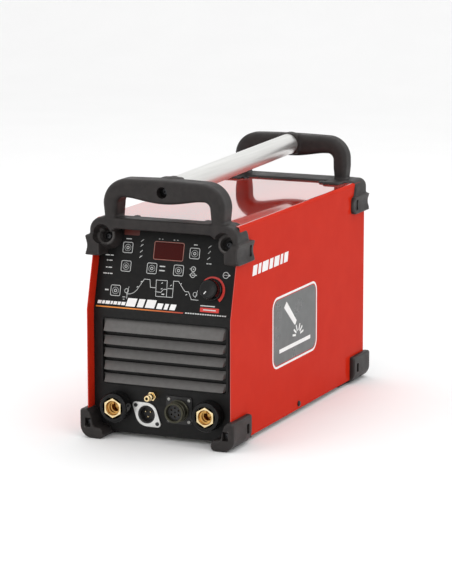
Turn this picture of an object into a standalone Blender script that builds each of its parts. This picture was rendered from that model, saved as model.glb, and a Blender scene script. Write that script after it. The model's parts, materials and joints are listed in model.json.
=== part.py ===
"""TIG welding machine: a folded red steel cover on a base tray, moulded end bumpers with carrying
arches and a tube between them, a louvred front with weld sockets, and a slanted control panel.
Sizes are in millimetres; the helpers turn them into metres. The front faces -Y."""

from math import acos, atan2, cos, pi, sin, tan

import bmesh
import bpy
from mathutils import Vector
from mathutils.geometry import interpolate_bezier

MM = 0.001
GAP = 0.3

# Cover and base, folded from sheet steel
CASE_HALF_WIDTH = 115.85
CASE_FRONT = -267.5
CASE_REAR = 267.5
CASE_BOTTOM = 7.0
CASE_TOP = 325.0
SHEET = 1.5
COVER_BEND_RADIUS = 5.5
SLANT_START = 192.5
SLANT_BACK = 35.0
TILT = atan2(SLANT_BACK, CASE_TOP - SLANT_START)

# Front and rear panels stand back from the cover's edges
PANEL_RECESS = 20.0
PANEL_THICKNESS = 2.5
PANEL_FRONT = CASE_FRONT + PANEL_RECESS
PANEL_BEND = SLANT_START - PANEL_RECESS * tan(TILT / 2)
PANEL_TOP = 318.0
REAR_RECESS = 15.0
REAR_PANEL = CASE_REAR - REAR_RECESS
INNER_HALF_WIDTH = CASE_HALF_WIDTH - SHEET - GAP
MID_SHEET = CASE_HALF_WIDTH - SHEET / 2

# Bumpers, arches and the tube between them
BUMPER_HALF_WIDTH = 125.0
BUMPER_TOP = 328.3
BOSS_X = 97.0
BOSS_Z = 294.0
BOSS_RADIUS = 14.5
BOSS_OUT = 20.0
BOSS_FLOOR = 8.0
BOSS_RECESS = 10.5
REAR_BOSS_RADIUS = 18.0
ARCH_HALF_WIDTH = 97.0
ARCH_BAR = 23.0
FRONT_ARCH_Y = (CASE_FRONT + 15.0, CASE_FRONT + 55.0)
REAR_ARCH_Y = (CASE_REAR - 37.0, CASE_REAR - 5.0)
FRONT_ARCH_TOP = 386.0
REAR_ARCH_TOP = 396.0
TUBE_RADIUS = 16.4
TUBE_WALL = 2.0
TUBE_FRONT_Z = 370.4
TUBE_REAR_Z = 382.0
TUBE_INSET = 8.0
COLLAR_RADIUS = 18.2
COLLAR_LENGTH = 7.0

# Feet, one at each lower corner
FOOT_OUT = 11.0
FOOT_HALF_WIDTH = 124.0
FOOT_TOP = 44.0
FOOT_WRAP = 60.0

# Front controls, measured across the machine and up the slanted panel from its bend
BUTTON_SIZE = 17.4
BUTTONS = {
    "button_mode": (-68.0, 93.5),
    "button_trigger": (-68.0, 66.0),
    "button_pulse": (-26.0, 65.5),
    "button_profile": (17.0, 65.5),
    "button_polarity": (40.0, 92.0),
    "button_select": (-81.0, 29.0),
}
DISPLAY_CENTRE = (-2.0, 92.5)
DISPLAY_SIZE = (45.0, 24.0)
KNOB_CENTRE = (72.5, 41.0)
KNOB_RADIUS = 16.0

# Front connectors, across the machine and up from the floor
SOCKETS = {"left": (-74.5, 46.5), "right": (74.5, 46.5)}
GAS_OUTLET = (-17.0, 67.0)
TORCH = (-28.0, 37.5)
REMOTE = (24.7, 48.5)

# Louvred air grille
GRILLE_HALF_WIDTH = 103.0
GRILLE_BOTTOM = 78.3
GRILLE_TOP = 178.2
SLAT_PITCH = 19.2
SLAT_HEIGHT = 11.3
TOP_SLAT = (158.7, 177.0)

# Rear fittings, across the machine and up from the floor
FAN = (0.0, 120.0)
FAN_RADIUS = 56.0
SWITCH = (52.0, 248.0)
GLAND = (-58.0, 248.0)
GAS_INLET = (-84.0, 52.0)

FACING_FRONT = (pi / 2, 0.0, 0.0)
FACING_REAR = (-pi / 2, 0.0, 0.0)
FACING_SIDE = (pi / 2, 0.0, pi / 2)
UPRIGHT = (0.0, 0.0, 0.0)

BLACK_STEEL = ((0.015, 0.015, 0.017), 0.45, 0.0)
RUBBER = ((0.045, 0.042, 0.041), 0.6, 0.0)
BLACK_PLASTIC = ((0.012, 0.012, 0.013), 0.35, 0.0)
RED_PAINT = ((0.62, 0.03, 0.02), 0.2, 0.0)
BRASS = ((0.78, 0.55, 0.25), 0.3, 1.0)
ALUMINIUM = ((0.78, 0.78, 0.78), 0.35, 1.0)
ZINC = ((0.55, 0.55, 0.52), 0.4, 1.0)
OLIVE = ((0.12, 0.115, 0.09), 0.5, 0.6)
CIRCUIT_GREEN = ((0.02, 0.14, 0.06), 0.5, 0.0)
COPPER = ((0.5, 0.2, 0.08), 0.4, 1.0)
LACQUER = ((0.09, 0.05, 0.03), 0.5, 0.0)
RED_LENS = ((0.14, 0.01, 0.01), 0.15, 0.0)
HOSE_BLUE = ((0.03, 0.07, 0.2), 0.5, 0.0)


# ---------------------------------------------------------------- scene and collections

for old_object in list(bpy.data.objects):
    bpy.data.objects.remove(old_object, do_unlink=True)

PARTS = bpy.data.collections.new("tig_welding_machine")
CUTTERS = bpy.data.collections.new("cutters")
bpy.context.scene.collection.children.link(PARTS)
bpy.context.scene.collection.children.link(CUTTERS)


def empty(name, location, rotation):
    obj = bpy.data.objects.new(name, None)
    obj.location = Vector(location) * MM
    obj.rotation_euler = rotation
    PARTS.objects.link(obj)
    return obj


def place(mesh, name, location, rotation=UPRIGHT, parent=None):
    obj = bpy.data.objects.new(name, mesh)
    obj.location = Vector(location) * MM
    obj.rotation_euler = rotation
    obj.parent = parent
    CUTTERS.objects.link(obj)
    obj.hide_render = True
    obj.display_type = "WIRE"
    return obj


def as_part(obj, name, finish):
    """Turns a shape into a named part with its own material."""
    colour, roughness, metallic = finish
    material = bpy.data.materials.new(name)
    material.use_nodes = True
    shader = material.node_tree.nodes["Principled BSDF"]
    shader.inputs["Base Color"].default_value = (*colour, 1.0)
    shader.inputs["Roughness"].default_value = roughness
    shader.inputs["Metallic"].default_value = metallic
    obj.data.materials.clear()
    obj.data.materials.append(material)
    obj.name = name
    CUTTERS.objects.unlink(obj)
    PARTS.objects.link(obj)
    obj.hide_render = False
    obj.display_type = "TEXTURED"
    return obj


# ---------------------------------------------------------------- shapes


def box(low, high, parent=None, rotation=UPRIGHT):
    """A block between two corners; a rotation turns it about its centre."""
    low, high = Vector(low), Vector(high)
    bm = bmesh.new()
    bmesh.ops.create_cube(bm, size=1.0)
    bmesh.ops.scale(bm, vec=(high - low) * MM, verts=bm.verts)
    mesh = bpy.data.meshes.new("box")
    bm.to_mesh(mesh)
    bm.free()
    return place(mesh, "box", (low + high) / 2, rotation, parent)


def cylinder(radius, start, end, location, rotation, segments=24, parent=None, end_radius=None):
    """A round bar along its own Z, from start to end of it."""
    bm = bmesh.new()
    bmesh.ops.create_cone(
        bm,
        cap_ends=True,
        segments=segments,
        radius1=radius * MM,
        radius2=(radius if end_radius is None else end_radius) * MM,
        depth=(end - start) * MM,
    )
    bmesh.ops.translate(bm, vec=(0, 0, (start + end) / 2 * MM), verts=bm.verts)
    mesh = bpy.data.meshes.new("cylinder")
    bm.to_mesh(mesh)
    bm.free()
    mesh.shade_smooth()
    mesh.set_sharp_from_angle(angle=0.7)
    return place(mesh, "cylinder", location, rotation, parent)


def turned(profile, location, rotation, steps=24, closed=True, parent=None):
    """A profile of (radius, height) points turned about its own Z."""
    bm = bmesh.new()
    verts = [bm.verts.new((radius * MM, 0, height * MM)) for radius, height in profile]
    for first, second in zip(verts, verts[1:]):
        bm.edges.new((first, second))
    if closed:
        bm.edges.new((verts[-1], verts[0]))
    mesh = bpy.data.meshes.new("turned")
    bm.to_mesh(mesh)
    bm.free()
    obj = place(mesh, "turned", location, rotation, parent)
    screw = obj.modifiers.new("turn", "SCREW")
    screw.steps = steps
    screw.render_steps = steps
    screw.use_merge_vertices = True
    screw.merge_threshold = 0.00001
    return obj


def outline(points, thickness, location, rotation, holes=(), parent=None):
    """A flat outline, with holes, made as thick as asked about its own plane."""
    curve = bpy.data.curves.new("outline", "CURVE")
    curve.dimensions = "2D"
    curve.fill_mode = "BOTH"
    curve.extrude = thickness / 2 * MM
    for loop in (points, *holes):
        spline = curve.splines.new("POLY")
        spline.points.add(len(loop) - 1)
        for point, (x, y) in zip(spline.points, loop):
            point.co = (x * MM, y * MM, 0, 1)
        spline.use_cyclic_u = True
    drawn = bpy.data.objects.new("outline", curve)
    CUTTERS.objects.link(drawn)
    mesh = bpy.data.meshes.new_from_object(
        drawn.evaluated_get(bpy.context.evaluated_depsgraph_get())
    )
    bpy.data.objects.remove(drawn)
    bm = bmesh.new()
    bm.from_mesh(mesh)
    bmesh.ops.remove_doubles(bm, verts=bm.verts, dist=0.00001)
    bmesh.ops.recalc_face_normals(bm, faces=bm.faces)
    bm.to_mesh(mesh)
    bm.free()
    return place(mesh, "outline", location, rotation, parent)


def front_outline(points, y_front, y_back, holes=()):
    """An outline drawn as seen from the front, between two depths."""
    middle = (y_front + y_back) / 2
    return outline(points, y_back - y_front, (0, middle, 0), FACING_FRONT, holes)


def side_outline(points, x_low, x_high):
    """An outline drawn in (y, z), between two distances across."""
    middle = (x_low + x_high) / 2
    return outline(points, x_high - x_low, (middle, 0, 0), FACING_SIDE)


def bent_sheet(profile, thickness, location, rotation, width):
    """An open profile drawn in its own XY, as wide as asked along Z, thickened to its right."""
    bm = bmesh.new()
    verts = [bm.verts.new((x * MM, y * MM, -width / 2 * MM)) for x, y in profile]
    edges = [bm.edges.new(pair) for pair in zip(verts, verts[1:])]
    grown = bmesh.ops.extrude_edge_only(bm, edges=edges)["geom"]
    moved = [item for item in grown if isinstance(item, bmesh.types.BMVert)]
    bmesh.ops.translate(bm, vec=(0, 0, width * MM), verts=moved)
    mesh = bpy.data.meshes.new("sheet")
    bm.to_mesh(mesh)
    bm.free()
    obj = place(mesh, "sheet", location, rotation)
    solidify = obj.modifiers.new("thickness", "SOLIDIFY")
    solidify.thickness = thickness * MM
    solidify.offset = 1.0
    solidify.use_even_offset = True
    return obj


def arc(x, y, radius, start, end, steps):
    """Points on a circle from one angle to another, in degrees."""
    angles = [(start + (end - start) * i / steps) * pi / 180 for i in range(steps + 1)]
    return [(x + radius * cos(angle), y + radius * sin(angle)) for angle in angles]


def circle(x, y, radius, steps=24):
    return arc(x, y, radius, 0, 360 - 360 / steps, steps - 1)


def rectangle(x, y, half_width, half_height):
    corners = ((-1, -1), (1, -1), (1, 1), (-1, 1))
    return [(x + half_width * right, y + half_height * up) for right, up in corners]


def rounded_rectangle(x_low, y_low, x_high, y_high, radius, steps=3):
    return (
        arc(x_high - radius, y_high - radius, radius, 0, 90, steps)
        + arc(x_low + radius, y_high - radius, radius, 90, 180, steps)
        + arc(x_low + radius, y_low + radius, radius, 180, 270, steps)
        + arc(x_high - radius, y_low + radius, radius, 270, 360, steps)
    )


def combine(target, other, operation):
    boolean = target.modifiers.new(operation.lower(), "BOOLEAN")
    boolean.operation = operation
    boolean.object = other


def cut(target, *cutters):
    for cutter in cutters:
        combine(target, cutter, "DIFFERENCE")
    return target


def join(target, *others):
    for other in others:
        combine(target, other, "UNION")
    return target


def bevel(obj, width, segments=1):
    modifier = obj.modifiers.new("bevel", "BEVEL")
    modifier.width = width * MM
    modifier.segments = segments
    modifier.limit_method = "ANGLE"
    modifier.angle_limit = 0.8
    return obj


# ---------------------------------------------------------------- cover, tray and panels


def slant_line(z, forward=0.0):
    """Depth of the cover's slanted front edge at a height, moved forward square to it."""
    return CASE_FRONT - forward / cos(TILT) + (z - SLANT_START) * tan(TILT)


def folded_cover(grow=0.0):
    """The sheet of the cover; grown on every side when it serves as a clearance cutter."""
    half = CASE_HALF_WIDTH + grow
    top = CASE_TOP + grow
    bottom = CASE_BOTTOM - grow
    bend = COVER_BEND_RADIUS + grow
    profile = (
        [(-half, bottom)]
        + arc(-half + bend, top - bend, bend, 180, 90, 3)
        + arc(half - bend, top - bend, bend, 90, 0, 3)
        + [(half, bottom)]
    )
    length = CASE_REAR - CASE_FRONT + 2 * grow
    sheet = bent_sheet(profile, -(SHEET + 2 * grow), (0, 0, 0), FACING_FRONT, length)
    low, high = SLANT_START - 10, CASE_TOP + 15
    front = CASE_FRONT - 40
    wedge = [
        (slant_line(low, grow), low),
        (slant_line(high, grow), high),
        (front, high),
        (front, low),
    ]
    return cut(sheet, side_outline(wedge, -150, 150))


SIDE_SCREW = (-9.5, 15.3)
TOP_SCREWS = {
    "front_left": (-57.0, CASE_FRONT + 52.0),
    "front_right": (57.0, CASE_FRONT + 52.0),
    "rear_left": (-66.0, CASE_REAR - 60.0),
    "rear_right": (66.0, CASE_REAR - 60.0),
}
SIDEWAYS = (0.0, pi / 2, 0.0)


def make_cover():
    cover = folded_cover()
    holes = [cylinder(2.4, -10, 10, (x, y, CASE_TOP), UPRIGHT, 10) for x, y in TOP_SCREWS.values()]
    y, z = SIDE_SCREW
    holes.append(cylinder(2.4, -150, 150, (0, y, z), SIDEWAYS, 10))
    as_part(cut(cover, *holes), "case_cover", RED_PAINT)


def make_base_tray():
    half = INNER_HALF_WIDTH
    front = PANEL_FRONT + PANEL_THICKNESS + GAP
    rear = REAR_PANEL - SHEET - GAP
    profile = [(-half, 32), (-half, CASE_BOTTOM), (half, CASE_BOTTOM), (half, 32)]
    tray = bent_sheet(profile, SHEET, (0, (front + rear) / 2, 0), FACING_FRONT, rear - front)
    y, z = SIDE_SCREW
    cut(tray, cylinder(2.4, -150, 150, (0, y, z), SIDEWAYS, 10))
    as_part(tray, "base_tray", ZINC)


def make_front_panel():
    """One sheet with a bend; its upper half leans back with the cover's edge."""
    lean = (PANEL_TOP - PANEL_BEND) * tan(TILT)
    profile = [
        (PANEL_FRONT, CASE_BOTTOM),
        (PANEL_FRONT, PANEL_BEND),
        (PANEL_FRONT + lean, PANEL_TOP),
    ]
    panel = bent_sheet(profile, -PANEL_THICKNESS, (0, 0, 0), FACING_SIDE, 2 * INNER_HALF_WIDTH)
    side = GRILLE_HALF_WIDTH + GAP
    grille = rounded_rectangle(-side, GRILLE_BOTTOM - GAP, side, GRILLE_TOP + GAP, 6)
    holes = [front_outline(grille, PANEL_FRONT - 8, PANEL_FRONT + 12)]
    for (x, z), radius in (
        (SOCKETS["left"], 19.7),
        (SOCKETS["right"], 19.7),
        (GAS_OUTLET, 4.5),
        (TORCH, 13.7),
        (REMOTE, 13.7),
    ):
        holes.append(cylinder(radius, -10, 10, (x, PANEL_FRONT, z), FACING_FRONT, 16))
    for x, up in BUTTONS.values():
        half = BUTTON_SIZE / 2 + GAP
        square = rounded_rectangle(x - half, up - half, x + half, up + half, 3, 2)
        holes.append(outline(square, 12, (0, 0, 0), UPRIGHT, parent=CONTROLS))
    x, up = DISPLAY_CENTRE
    width, height = DISPLAY_SIZE
    holes.append(
        box(
            (x - width / 2 - GAP, up - height / 2 - GAP, -8),
            (x + width / 2 + GAP, up + height / 2 + GAP, 8),
            CONTROLS,
        )
    )
    holes.append(cylinder(4.5, -8, 8, (*KNOB_CENTRE, 0), UPRIGHT, 16, CONTROLS))
    as_part(cut(panel, *holes), "front_panel", BLACK_STEEL)


def make_louvre_grille():
    """A frame through the panel with five sloping slats that let the cooling air out."""
    side, top, bottom = GRILLE_HALF_WIDTH, GRILLE_TOP, GRILLE_BOTTOM
    outer = rounded_rectangle(-side, bottom, side, top, 5.7)
    inner = rounded_rectangle(-side + 4, bottom + 3, side - 4, top - 3, 3)
    frame = front_outline(outer, PANEL_FRONT - 1.2, PANEL_FRONT + 10, [inner])
    slats = [TOP_SLAT]
    for row in range(4):
        high = 150.8 - row * SLAT_PITCH
        slats.append((high - SLAT_HEIGHT, high))
    for low, high in slats:
        front, back = PANEL_FRONT - 6, PANEL_FRONT + 5
        slat = [(front, low), (front + 2.4, low), (back + 2.4, high), (back, high)]
        join(frame, side_outline(slat, -side + 2, side - 2))
    as_part(frame, "louvre_grille", BLACK_PLASTIC)


def make_rear_panel():
    half = INNER_HALF_WIDTH
    top = CASE_TOP - SHEET - GAP
    corner = COVER_BEND_RADIUS
    sheet = [
        (-half, CASE_BOTTOM),
        (half, CASE_BOTTOM),
        (half, top - corner),
        (half - corner, top),
        (corner - half, top),
        (-half, top - corner),
    ]
    holes = [
        circle(*FAN, FAN_RADIUS),
        circle(*GLAND, 9.8, 16),
        circle(*GAS_INLET, 6.3, 12),
        rectangle(*SWITCH, 20.3, 20.3),
    ]
    panel = front_outline(sheet, REAR_PANEL - SHEET, REAR_PANEL, holes)
    as_part(panel, "rear_panel", BLACK_STEEL)


# ---------------------------------------------------------------- bumpers, arches, tube and feet


def arch_outline(top):
    """Outer and inner loops of a carrying arch, seen from the front."""
    side = ARCH_HALF_WIDTH
    foot = BUMPER_TOP - 10
    outer = (
        [(side - 6, foot)]
        + [(side, 348)]
        + arc(side - 37, top - 37, 37, 8, 82, 6)
        + [(0, top + 0.6)]
        + arc(-side + 37, top - 37, 37, 98, 172, 6)
        + [(-side, 348), (-side + 6, foot)]
    )
    inner_side = side - ARCH_BAR
    inner_top = top - 28
    inner = (
        [(inner_side + 2, foot)]
        + arc(inner_side - 11, inner_top - 11, 11, 10, 85, 3)
        + [(24, inner_top - 6.5), (-24, inner_top - 6.5)]
        + arc(-inner_side + 11, inner_top - 11, 11, 95, 170, 3)
        + [(-inner_side - 2, foot)]
    )
    return outer + inner[::-1]


def shoulder_outline():
    """Crossbar and rounded shoulders of a bumper, seen from the front."""
    low = 312.0
    right = [(76, low), (86, 306), (108, 306), (113, 310)]
    shoulder = arc(97, BUMPER_TOP - 19, 19, 8, 90, 5)
    half = right + shoulder
    return half + [(-x, z) for x, z in half[::-1]]


def shoulder_end(side):
    """The rounded end of a shoulder, which reaches further back over the cover's edge."""
    top = BUMPER_TOP - 0.8
    right = [(84, 307), (107, 299.5), (118.2, 299.5)]
    right = right + arc(97.6, top - 20.6, 20.6, 4, 90, 5) + [(84, top)]
    return [(x * side, z) for x, z in right]


def side_lugs(y_low, y_high, z_low, z_high, pocket_y):
    """Corner blocks that wrap the cover's sides, each with an open pocket in its outer face."""
    lugs = []
    for side in (-1, 1):
        inner, outer = 99.0 * side, BUMPER_HALF_WIDTH * side
        low, high = min(inner, outer), max(inner, outer)
        lug = bevel(box((low, y_low, z_low), (high, y_high, z_high)), 5)
        waist = cylinder(
            22,
            -60,
            60,
            ((BUMPER_HALF_WIDTH + 20) * side, (y_low + y_high) / 2, (z_low + z_high) / 2),
            FACING_FRONT,
            20,
        )
        middle = (BUMPER_HALF_WIDTH - 2.5) * side
        pocket = box(
            (middle - 5, pocket_y - 6, (z_low + z_high) / 2 - 9),
            (middle + 5, pocket_y + 6, (z_low + z_high) / 2 + 9),
        )
        lugs.append(cut(lug, waist, pocket))
    return lugs


def tube_direction():
    start = Vector((0, FRONT_ARCH_Y[1] - TUBE_INSET + GAP, TUBE_FRONT_Z))
    end = Vector((0, REAR_ARCH_Y[0] + TUBE_INSET - GAP, TUBE_REAR_Z))
    return start, end, (end - start).to_track_quat("Z", "Y").to_euler()


def make_front_bumper():
    y_front, y_back = FRONT_ARCH_Y
    arch = bevel(front_outline(arch_outline(FRONT_ARCH_TOP), y_front, y_back), 5)
    shoulders = bevel(front_outline(shoulder_outline(), y_front - 1, CASE_FRONT + 46), 3)
    bosses = []
    recesses = []
    for side in (-1, 1):
        boss = (BOSS_X * side, BOSS_UP, 0)
        bosses.append(
            cylinder(BOSS_RADIUS + 4, 0, BOSS_OUT, boss, UPRIGHT, 20, CONTROLS, BOSS_RADIUS)
        )
        recesses.append(cylinder(BOSS_RECESS, BOSS_FLOOR, 60, boss, UPRIGHT, 16, CONTROLS))
        recesses.append(cylinder(3.2, 4, 40, boss, UPRIGHT, 8, CONTROLS))
    lugs = side_lugs(CASE_FRONT + 10, CASE_FRONT + 74, 271, 301, CASE_FRONT + 60)
    start, _, direction = tube_direction()
    collar = cylinder(COLLAR_RADIUS, -4, TUBE_INSET + COLLAR_LENGTH, start, direction, 20)
    ends = [
        bevel(front_outline(shoulder_end(side), y_front + 1.5, CASE_FRONT + 63.5), 2)
        for side in (-1, 1)
    ]
    body = join(arch, shoulders, collar, *ends, *bosses, *lugs)
    inside = side_outline(
        [
            (PANEL_FRONT - 1.2, 100),
            (PANEL_FRONT - 1.2, PANEL_BEND),
            (PANEL_FRONT - 1.2 + (324.2 - PANEL_BEND) * tan(TILT), 324.2),
            (0, 324.2),
            (0, 100),
        ],
        -MID_SHEET,
        MID_SHEET,
    )
    cut(body, folded_cover(GAP), inside, *recesses)
    cut(
        body,
        cylinder(TUBE_RADIUS + GAP, -GAP, 60, start, direction, 20),
        cylinder(4.4, -60, 10, start, direction, 10),
        cylinder(8.5, -50, -17, start, direction, 12),
    )
    as_part(body, "front_bumper", RUBBER)


def make_rear_bumper():
    y_front, y_back = REAR_ARCH_Y
    arch = bevel(front_outline(arch_outline(REAR_ARCH_TOP), y_front, y_back), 5)
    shoulders = bevel(front_outline(shoulder_outline(), CASE_REAR - 48, CASE_REAR + 5), 3)
    pads = [
        bevel(box((x - 15, CASE_REAR - 74, CASE_TOP - 5), (x + 15, CASE_REAR - 40, 329)), 3)
        for x in (-86, 86)
    ]
    bosses = []
    recesses = []
    for x in (-BOSS_X, BOSS_X):
        boss = (x, REAR_PANEL, BOSS_Z)
        bosses.append(cylinder(REAR_BOSS_RADIUS, -3, 19, boss, FACING_REAR, 20))
        recesses.append(cylinder(8.5, 10, 40, boss, FACING_REAR, 14))
        recesses.append(cylinder(3.2, 3, 40, boss, FACING_REAR, 8))
    lugs = side_lugs(CASE_REAR - 60, CASE_REAR + 8, 277, 304, CASE_REAR - 44)
    ends = [
        bevel(front_outline(shoulder_end(side), CASE_REAR - 51, CASE_REAR + 3.5), 2)
        for side in (-1, 1)
    ]
    _, end, direction = tube_direction()
    collar = cylinder(COLLAR_RADIUS, -TUBE_INSET - COLLAR_LENGTH, 4, end, direction, 20)
    body = join(arch, shoulders, collar, *ends, *pads, *bosses, *lugs)
    inside = box((-MID_SHEET, 0, 100), (MID_SHEET, REAR_PANEL + GAP, CASE_TOP - SHEET))
    cut(body, folded_cover(GAP), inside, *recesses)
    cut(
        body,
        cylinder(TUBE_RADIUS + GAP, -60, GAP, end, direction, 20),
        cylinder(4.4, -10, 60, end, direction, 10),
        cylinder(8.5, 17, 50, end, direction, 12),
    )
    as_part(body, "rear_bumper", RUBBER)


def make_carry_tube():
    start, end, direction = tube_direction()
    length = (end - start).length
    inner = TUBE_RADIUS - TUBE_WALL
    profile = [(inner, length), (TUBE_RADIUS, length), (TUBE_RADIUS, 0), (inner, 0)]
    as_part(turned(profile, start, direction, 20), "carry_tube", ALUMINIUM)
    for name, place_at, flip in (("front_tube_bolt", start, 1), ("rear_tube_bolt", end, -1)):
        head = sorted((-22.0 * flip, -17.6 * flip))
        shank = sorted((-18.0 * flip, 6.0 * flip))
        bolt = cylinder(6.5, *head, place_at, direction, 12)
        as_part(join(bolt, cylinder(4.0, *shank, place_at, direction, 12)), name, ZINC)


def make_foot(name, side, end):
    """A corner foot: a block at the end face, a wall up the side and a pad under the case."""
    half = FOOT_HALF_WIDTH
    profile = (
        [(half, FOOT_TOP), (107, FOOT_TOP), (99, 36), (88, 13)]
        + arc(90, 6, 6, 150, 270, 4)
        + arc(half - 18, 18, 18, 270, 360, 5)
    )
    profile = [(x * side, z) for x, z in profile]
    edge = CASE_FRONT if end < 0 else CASE_REAR
    recess = PANEL_RECESS if end < 0 else REAR_RECESS
    outer, inner = edge + FOOT_OUT * end, edge - FOOT_WRAP * end
    foot = bevel(front_outline(profile, min(outer, inner), max(outer, inner)), 3)
    lip_y = sorted((edge - 20 * end, edge - 90 * end))
    lip_x = sorted((92 * side, 110 * side))
    join(foot, box((lip_x[0], lip_y[0], 0), (lip_x[1], lip_y[1], CASE_BOTTOM - GAP)))
    wall_out, wall_in = CASE_HALF_WIDTH + GAP, INNER_HALF_WIDTH
    wall_edge = edge + GAP * end
    panel_face = edge - (recess - GAP) * end
    plan = [
        (wall_out, wall_edge),
        (wall_out, 0),
        (0, 0),
        (0, panel_face),
        (wall_in, panel_face),
        (wall_in, wall_edge),
    ]
    plan = [(x * side, y) for x, y in plan]
    case = outline(plan, 100, (0, 0, CASE_BOTTOM - GAP + 50), UPRIGHT)
    screw = box((102 * side - 5.5, outer - 8, 14), (102 * side + 5.5, outer + 8, 25))
    cut(foot, case, screw)
    as_part(foot, name, RUBBER)


def make_case_screws():
    """Pan heads on the top and sides of the cover, and the sunk bumper screws."""
    for name, (x, y) in TOP_SCREWS.items():
        screw = cylinder(5.0, GAP, 3.2, (x, y, CASE_TOP), UPRIGHT, 12, None, 3.8)
        join(screw, cylinder(2.0, -3, 1, (x, y, CASE_TOP), UPRIGHT, 10))
        as_part(screw, f"top_screw_{name}", ZINC)
    y, z = SIDE_SCREW
    for name, side in (("left", -1), ("right", 1)):
        turn = (0.0, side * pi / 2, 0.0)
        seat = (CASE_HALF_WIDTH * side, y, z)
        screw = cylinder(4.6, GAP, 2.8, seat, turn, 12, None, 3.6)
        join(screw, cylinder(2.0, -4.5, 1, seat, turn, 10))
        as_part(screw, f"side_screw_{name}", ZINC)
        boss = (BOSS_X * side, BOSS_UP, 0)
        seat, top = BOSS_FLOOR + GAP, BOSS_FLOOR + 4
        screw = cylinder(5.5, seat, top, boss, UPRIGHT, 12, CONTROLS)
        join(screw, cylinder(2.8, BOSS_FLOOR - 3, top - 3, boss, UPRIGHT, 10, CONTROLS))
        as_part(screw, f"front_bumper_screw_{name}", ZINC)
        boss = (BOSS_X * side, REAR_PANEL, BOSS_Z)
        screw = cylinder(5.5, 10 + GAP, 14, boss, FACING_REAR, 12)
        join(screw, cylinder(2.8, 4, 11, boss, FACING_REAR, 10))
        as_part(screw, f"rear_bumper_screw_{name}", ZINC)


# ---------------------------------------------------------------- slanted control panel


def make_control_overlay():
    """A printed sheet over the slanted panel, cut out for the buttons, window and knob."""
    x, up = DISPLAY_CENTRE
    across, tall = (size / 2 + GAP for size in DISPLAY_SIZE)
    holes = [rectangle(x, up, across, tall), circle(*KNOB_CENTRE, 4.5, 16)]
    for x, up in BUTTONS.values():
        half = BUTTON_SIZE / 2 + GAP
        holes.append(rounded_rectangle(x - half, up - half, x + half, up + half, 3, 2))
    sheet = outline(
        rounded_rectangle(-112, 3, 112, 130, 2, 1), 0.6, (0, 0, 0.6), UPRIGHT, holes, CONTROLS
    )
    as_part(sheet, "control_overlay", BLACK_PLASTIC)


def make_buttons():
    for name, (x, up) in BUTTONS.items():
        half = BUTTON_SIZE / 2
        square = rounded_rectangle(-half, -half, half, half, 3, 2)
        button = outline(square, 5.6, (x, up, -1.0), UPRIGHT, parent=CONTROLS)
        as_part(button, name, BLACK_PLASTIC)


def make_display_window():
    x, up = DISPLAY_CENTRE
    width, height = DISPLAY_SIZE
    window = box((x - width / 2, up - height / 2, -2.5), (x + width / 2, up + height / 2, 1.2), CONTROLS)
    as_part(window, "display_window", RED_LENS)


def make_knob():
    """The knob and its shaft turn together in the encoder behind the panel."""
    centre = (*KNOB_CENTRE, 0)
    profile = [
        (0, 16.5),
        (12.5, 16.5),
        (14.2, 15.0),
        (15.0, 4.5),
        (KNOB_RADIUS, 3.5),
        (KNOB_RADIUS, 1.3),
        (3.3, 1.3),
        (3.3, 10.5),
        (0, 10.5),
    ]
    knob = turned(profile, centre, UPRIGHT, 20, False, CONTROLS)
    as_part(knob, "encoder_knob", BLACK_PLASTIC)
    shaft = cylinder(3.0, -11.5, 10, centre, UPRIGHT, 12, CONTROLS)
    as_part(shaft, "encoder_shaft", ZINC)
    x, up = KNOB_CENTRE
    body = box((x - 7, up - 7, -14.1), (x + 7, up + 7, -5), CONTROLS)
    cut(body, cylinder(3.3, -12, 0, centre, UPRIGHT, 12, CONTROLS))
    as_part(body, "encoder_body", ZINC)


def make_control_board():
    board = box((-100, 12, -16), (100, 112, -14.4), CONTROLS)
    join(board, box((-24, 82, -14.6), (20, 103, -6), CONTROLS))
    as_part(board, "control_board", CIRCUIT_GREEN)


# ---------------------------------------------------------------- front connectors


def make_weld_sockets():
    """Insulating body with a six-sided brass contact that takes the cable plug."""
    for name, (x, z) in SOCKETS.items():
        centre = (x, PANEL_FRONT, z)
        profile = [(16, 22), (20.5, 22), (22.5, 20), (22.5, GAP), (19, GAP), (19, -18), (16, -18)]
        as_part(turned(profile, centre, FACING_FRONT, 20), f"weld_socket_body_{name}", BLACK_PLASTIC)
        contact = cylinder(15.6, -20, 21.5, centre, FACING_FRONT, 6)
        cut(contact, cylinder(6.8, -8, 30, centre, FACING_FRONT, 18))
        as_part(contact, f"weld_socket_contact_{name}", BRASS)


def make_gas_outlet():
    x, z = GAS_OUTLET
    profile = [
        (2, 25),
        (4, 25),
        (4.8, 22),
        (3.3, 20),
        (3.3, 17),
        (5, 15.5),
        (5, 10),
        (7.5, 9),
        (7.5, GAP),
        (4.2, GAP),
        (4.2, -14),
        (2, -14),
    ]
    fitting = turned(profile, (x, PANEL_FRONT, z), FACING_FRONT, 12)
    as_part(fitting, "gas_outlet", BRASS)


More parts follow.
